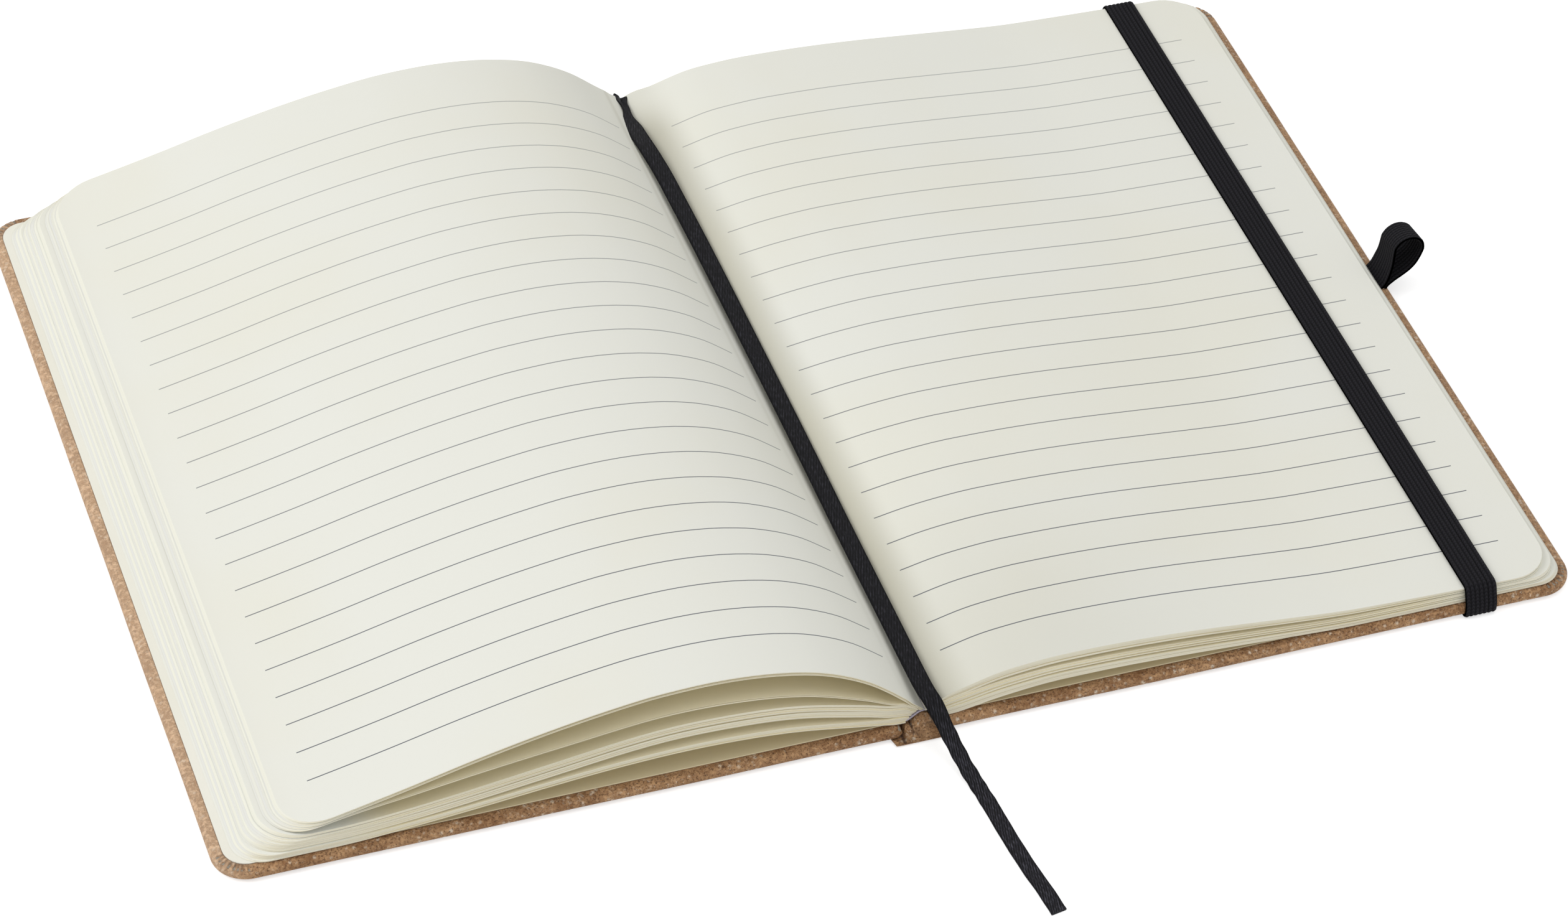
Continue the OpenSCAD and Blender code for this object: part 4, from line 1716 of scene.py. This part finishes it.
@dataclass
class PenLoop:
    """Standing loop of the same elastic at the back cover's fore edge."""

    y: float = -1.2
    width: float = 8.5
    thickness: float = 0.8
    ribs: int = 9
    centre: tuple[float, float] = (150.1, 12.9)
    radius: float = 3.4
    arc_from: float = 172.0
    arc_to: float = -12.0
    arc_steps: int = 12
    lean: tuple[float, float] = (0.7, -2.4)

    # X and Z of the tape's middle: from its upper end under the endpaper, and back to the lower end
    rise: Curve = (
        (136.5, 2.45), (140.0, 2.45), (143.0, 2.5), (144.6, 3.1), (145.6, 4.5), (146.2, 6.8), (146.6, 9.4),
    )
    fall: Curve = (
        (152.8, 10.3), (152.0, 8.7), (150.8, 7.3), (149.2, 6.1), (147.4, 4.9), (146.0, 3.7), (145.3, 2.5),
        (144.4, 1.75), (143.0, 1.65), (140.0, 1.65), (136.5, 1.65),
    )

    def build(self, material: bpy.types.Material) -> bpy.types.Object:
        """Make the loop.

        Args:
            material: Elastic.

        Returns:
            The loop.
        """
        shares = [i / self.arc_steps for i in range(self.arc_steps + 1)]
        turns = [math.radians(lerp(self.arc_from, self.arc_to, t)) for t in shares]
        cx, cz = self.centre
        arc = [(cx + self.radius * math.cos(a), cz + self.radius * math.sin(a)) for a in turns]
        line = through([(x, 0.0, z) for x, z in (*self.rise, *arc, *self.fall)], 4)
        route = [(v.x, self.y, v.z) for v in line]
        tape = ElasticTape("pen_loop_elastic", route, self.width, self.thickness, self.ribs, (0.0, 1.0, 0.0))
        obj = tape.build(material)
        for vertex in obj.data.vertices:
            share = (vertex.co.y / MM - self.y) / self.width + 0.5
            lean = share * smooth(3.0, 15.0, vertex.co.z / MM)
            vertex.co.x += self.lean[0] * lean * MM
            vertex.co.z += self.lean[1] * lean * MM
        return obj


# Ribbon


@dataclass
class Ribbon:
    """Satin ribbon marker from the head, down the gutter and out on the table."""

    width: float = 4.0
    thickness: float = 0.3

    # X, share of half the leaves' height, and height above the gutter in half widths
    gutter: Sequence[Point] = (
        (1.0, 1.0, 0.93), (0.9, 0.994, 0.97), (0.8, 0.955, 1.1), (0.8, 0.89, 1.03), (0.9, 0.8, 0.95),
        (1.1, 0.65, 0.85), (1.5, 0.42, 0.75), (1.6, 0.1, 0.73), (1.6, -0.2, 0.73), (1.4, -0.5, 0.76),
        (1.4, -0.77, 0.78), (1.4, -0.93, 0.8), (1.5, -0.985, 0.82),
    )
    # X, distance past the leaves' tail, and share of the gutter's height
    tail: Sequence[Point] = (
        (2.0, 2.5, 1.16), (2.9, 6.5, 0.83), (3.9, 10.5, 0.49), (4.9, 14.5, 0.2), (5.7, 18.5, 0.05),
        (6.4, 24.5, 0.0), (7.0, 34.5, 0.0), (7.8, 43.5, 0.0), (8.6, 49.5, 0.0), (8.9, 52.5, 0.0),
    )
    above_gutter: float = 0.2
    above_table: float = 0.3
    steps: int = 6
    columns: int = 10
    sink: float = 2.3
    fold: float = -0.8
    overhang: float = 3.6
    over_steps: int = 6
    pinch: float = 2.3
    head_narrow: float = 0.8
    table_narrow: float = 0.55

    def line(self) -> list[Vector]:
        """Smooth line through the route that the CAD part uses.

        Returns:
            The points of the line.
        """
        half, gutter = BOOK.leaf_h / 2, BOOK.gutter_z
        route = [(x, t * half, gutter + self.above_gutter + k * self.width / 2) for x, t, k in self.gutter]
        route += [(x, -half - away, self.above_table + k * gutter) for x, away, k in self.tail]
        return through(route, self.steps)

    def width_at(self, y: float) -> float:
        """Width of the ribbon: pinched a little below the head, crumpled and narrower on the table.

        Args:
            y: Place along the page.

        Returns:
            The width there.
        """
        pinch = self.pinch * smooth(89.0, 98.0, y) * (1 - smooth(99.5, 103.3, y))
        slack = smooth(-106.0, -112.0, y) * (1 - smooth(-122.0, -132.0, y))
        crumple = 0.05 * math.sin(y * 0.9) * smooth(-100.0, -115.0, y) + 0.16 * math.sin(y * 1.7) * slack
        narrow = self.head_narrow * smooth(99.5, 103.0, y) + self.table_narrow * smooth(-104.0, -114.0, y)
        return self.width - pinch - crumple - narrow

    def valley(self, p: Vector, t: float) -> Vector:
        """How the ribbon moves where it folds into the gutter.

        Args:
            p: Point of the route.
            t: Place across the ribbon, from -1 to 1.

        Returns:
            The way that this point of the ribbon moves.
        """
        sink = self.sink * smooth(78.0, 101.0, p.y)
        fold = lerp(self.fold, 0.1, abs(t) ** 0.35) if t < 0 else lerp(self.fold, -0.25, t)
        left = -0.8 * smooth(68.0, 88.0, p.y) * (1 - smooth(93.0, 99.0, p.y))
        return Vector((left, 0, smooth(96.0, 102.5, p.y) * fold - sink))

    def ring(self, before: Vector, p: Vector, after: Vector) -> list[Vector]:
        """Section of the ribbon at one point of its line.

        Args:
            before: The line's point before this one.
            p: The point.
            after: The line's point after it.

        Returns:
            The section's corners, along the top and back along the underside.
        """
        way = (after - before).normalized()
        side = Vector((-way.y, way.x, 0)).normalized()
        up = side.cross(way)
        up = up if up.z > 0 else -up
        half = self.width_at(p.y) / 2
        corners = []
        for level, t in self.turns():
            skew = way * (-t * 0.15 * smooth(-150.0, -156.0, p.y))
            edge = 1 - 0.5 * smooth(0.8, 1.0, abs(t)) + 0.7 * smooth(-158.4, -159.3, p.y)
            lift = self.valley(p, t) + up * (level * self.thickness / 2 * edge)
            corners.append(p + side * (t * half) + skew + lift)
        return corners

    def turns(self) -> list[tuple[int, float]]:
        """Corners of the section: 1 for the top or -1 for the underside, and the place from -1 to 1."""
        places = [2 * j / self.columns - 1 for j in range(self.columns + 1)]
        return [(level, level * t) for level in (1, -1) for t in places]

    def build(self, material: bpy.types.Material) -> bpy.types.Object:
        """Make the ribbon as a thin closed strip.

        Args:
            material: Satin.

        Returns:
            The ribbon.
        """
        line = self.line()
        on = (line[-1] - line[-2]).normalized() * (self.overhang / self.over_steps)
        drawn = line + [line[-1] + on * k for k in range(1, self.over_steps + 1)]
        runs = [0.0]
        for a, b in zip(drawn, drawn[1:]):
            runs.append(runs[-1] + (b - a).length)
        draft = MeshDraft()
        trios = zip(drawn[:1] + drawn, drawn, drawn[1:] + drawn[-1:])
        index = [[draft.point(tuple(v)) for v in self.ring(*trio)] for trio in trios]
        across = [t * self.width / 2 for _, t in self.turns()]
        for (a, u0), (b, u1) in zip(zip(index, runs), zip(index[1:], runs[1:])):
            for j in range(len(across)):
                k = (j + 1) % len(across)
                uv = [(across[j], u0), (across[k], u0), (across[k], u1), (across[j], u1)]
                draft.face((a[j], a[k], b[k], b[j]), uv)
        draft.face(list(reversed(index[0])))
        draft.face(index[-1])
        obj = draft.build("ribbon_satin", material, angle=60)
        middle = [p + self.valley(p, 0.0) for p in line]
        length = sum((b - a).length for a, b in zip(middle, middle[1:]))
        tuple(middle[0] * MM)
        self.width * MM
        [tuple(p * MM) for p in middle]
        return obj


# Stage


@dataclass(frozen=True)
class Studio:
    """Camera, soft light and a plain pale floor."""

    place: Point = (-298.669, -827.869, 777.037)
    right: Point = (0.94697, -0.31986, 0.0305)
    up: Point = (0.19262, 0.6411, 0.74289)
    ahead: Point = (0.25717, 0.69763, -0.66872)
    lens: float = 124.286
    sensor: float = 36.0
    floor_half: float = 3000.0
    floor_glow: float = 0.55
    sky: float = 0.5

    def camera(self) -> None:
        """Set the camera at the photograph's viewing angle."""
        data = bpy.data.cameras.new("view")
        data.lens, data.sensor_width, data.sensor_fit = self.lens, self.sensor, "HORIZONTAL"
        data.clip_start, data.clip_end = 0.01, 50.0
        obj = bpy.data.objects.new("view", data)
        r, u, b = Vector(self.right), Vector(self.up), -Vector(self.ahead)
        turn = Matrix((r, u, b)).transposed().to_4x4()
        obj.matrix_world = Matrix.Translation(Vector(self.place) * MM) @ turn
        bpy.context.scene.collection.objects.link(obj)
        bpy.context.scene.camera = obj

    @staticmethod
    def lamp(name: str, at: Point, size: float, power: float) -> None:
        """Add one square soft lamp that points at the notebook.

        Args:
            name: The lamp's name.
            at: Its place, in metres.
            size: Its side, in metres.
            power: Its power, in watts.
        """
        data = bpy.data.lights.new(name, "AREA")
        data.shape, data.size, data.energy = "SQUARE", size, power
        obj = bpy.data.objects.new(name, data)
        obj.location = at
        obj.rotation_euler = (-Vector(at)).to_track_quat("-Z", "Y").to_euler()
        bpy.context.scene.collection.objects.link(obj)

    @staticmethod
    def sight(n: Nodes) -> Sock:
        """Mark the rays that see the backdrop: the camera's, and those in gloss and through glass.

        Args:
            n: Builder of the floor's material or of the world.

        Returns:
            1 for those rays and 0 for the others.
        """
        rays = n.add("ShaderNodeLightPath").out.node.outputs
        kinds = ("Camera", "Glossy", "Transmission")
        camera, gloss, glass = (Sock(n, rays[f"Is {kind} Ray"]) for kind in kinds)
        return camera.at_least(gloss).at_least(glass)

    def floor(self) -> None:
        """Lay the pale floor, which shows white to the camera."""
        draft = MeshDraft()
        far = self.floor_half
        draft.face([draft.point((x * far, y * far, 0)) for x, y in ((-1, -1), (1, -1), (1, 1), (-1, 1))])
        n = MaterialNodes("floor")
        plain = n.add("ShaderNodeBsdfDiffuse", {}, {"Color": (0.8, 0.8, 0.8, 1)})
        glow = n.add("ShaderNodeEmission", {}, {"Color": WHITE, "Strength": self.floor_glow})
        shown = n.add("ShaderNodeAddShader", {}, {0: plain, 1: glow})
        both = n.add("ShaderNodeMixShader", {}, {0: self.sight(n), 1: plain, 2: shown})
        n.add("ShaderNodeOutputMaterial", {}, {"Surface": both})
        draft.build("floor", n.material, recalc=False)

    def world(self) -> None:
        """Fill the scene with an even white light, and show plain white behind the floor."""
        world = bpy.data.worlds.new("studio")
        world.use_nodes = True
        n = Nodes(world.node_tree)
        light = n.add("ShaderNodeBackground", {}, {"Color": WHITE, "Strength": self.sky})
        wall = n.add("ShaderNodeBackground", {}, {"Color": WHITE, "Strength": 1.0})
        both = n.add("ShaderNodeMixShader", {}, {0: self.sight(n), 1: light, 2: wall})
        n.add("ShaderNodeOutputWorld", {}, {"Surface": both})
        bpy.context.scene.world = world

    def build(self) -> None:
        """Set the whole stage."""
        self.camera()
        self.floor()
        self.world()
        self.lamp("key", (-1.2, 0.25, 1.1), 1.0, 10.5)
        self.lamp("fill", (0.5, -0.4, 1.8), 1.4, 7.0)
        self.lamp("front", (-0.1, -1.6, 0.45), 0.9, 3.5)
        bpy.context.scene.view_settings.view_transform = "Standard"


# Assembly


def place(obj: bpy.types.Object, body: Body, slot: str, *nodes: str) -> None:
    """Mount a finished piece on its body, in place of CAD nodes.

    Args:
        obj: The piece.
        body: The body it moves with.
        slot: Not used.
        nodes: CAD nodes that it stands for.
    """
    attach(obj, body.value)
    if nodes:
        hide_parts(*nodes)
    LOG.info("%s rides on %s, %d faces", obj.name, body.value, len(obj.data.polygons))


def bend(obj: bpy.types.Object, slot: str, start: float, end: float, *nodes: str) -> None:
    """Hide the CAD nodes that a piece stands for, and bake its placement into its mesh.

    Args:
        obj: The piece.
        slot: Not used.
        start: Not used.
        end: Not used.
        nodes: CAD nodes that it stands for.
    """
    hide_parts(*nodes)
    start * MM
    end * MM
    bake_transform(obj)
    LOG.info("%s bends across the hinge, %d faces", obj.name, len(obj.data.polygons))


def main() -> None:
    """Build the stage and every piece of the notebook."""
    logging.basicConfig(level=logging.INFO, format="%(message)s")
    Studio().build()
    finishes = Finishes()
    bend(Ribbon().build(finishes.satin), "ribbon", 3.4, -1.4, "ribbon_marker")
    place(ClosureBand().build(finishes.elastic), Body.BACK, "elastic", "closure_band")
    place(PenLoop().build(finishes.elastic), Body.BACK, "elastic", "pen_loop")
    place(Cover(Side.FRONT).build(finishes.leather), Body.FRONT, "leather", "front_leather")
    place(Cover(Side.BACK).build(finishes.leather), Body.BACK, "leather", "back_leather")
    bend(Spine().build(finishes.leather), "leather", 4.1, -4.1, "spine_leather", "spine_strip")
    bend(Lining().build(finishes.lining), "lining", 5.2, -3.2, "spine_lining")
    place(LeafBlock(Side.FRONT).build(finishes.paper[Side.FRONT]), Body.FRONT, "leaves", "left_leaves")
    place(LeafBlock(Side.BACK).build(finishes.paper[Side.BACK]), Body.BACK, "leaves", "right_leaves")
    place(Endpaper(Side.FRONT).build(finishes.endpaper), Body.FRONT, "endpaper", "front_endpaper")
    place(Endpaper(Side.BACK).build(finishes.endpaper), Body.BACK, "endpaper", "back_endpaper")
    for node in ("front_board", "back_board"):
        dress(node, finishes.board)


if __name__ == "__main__":
    main()
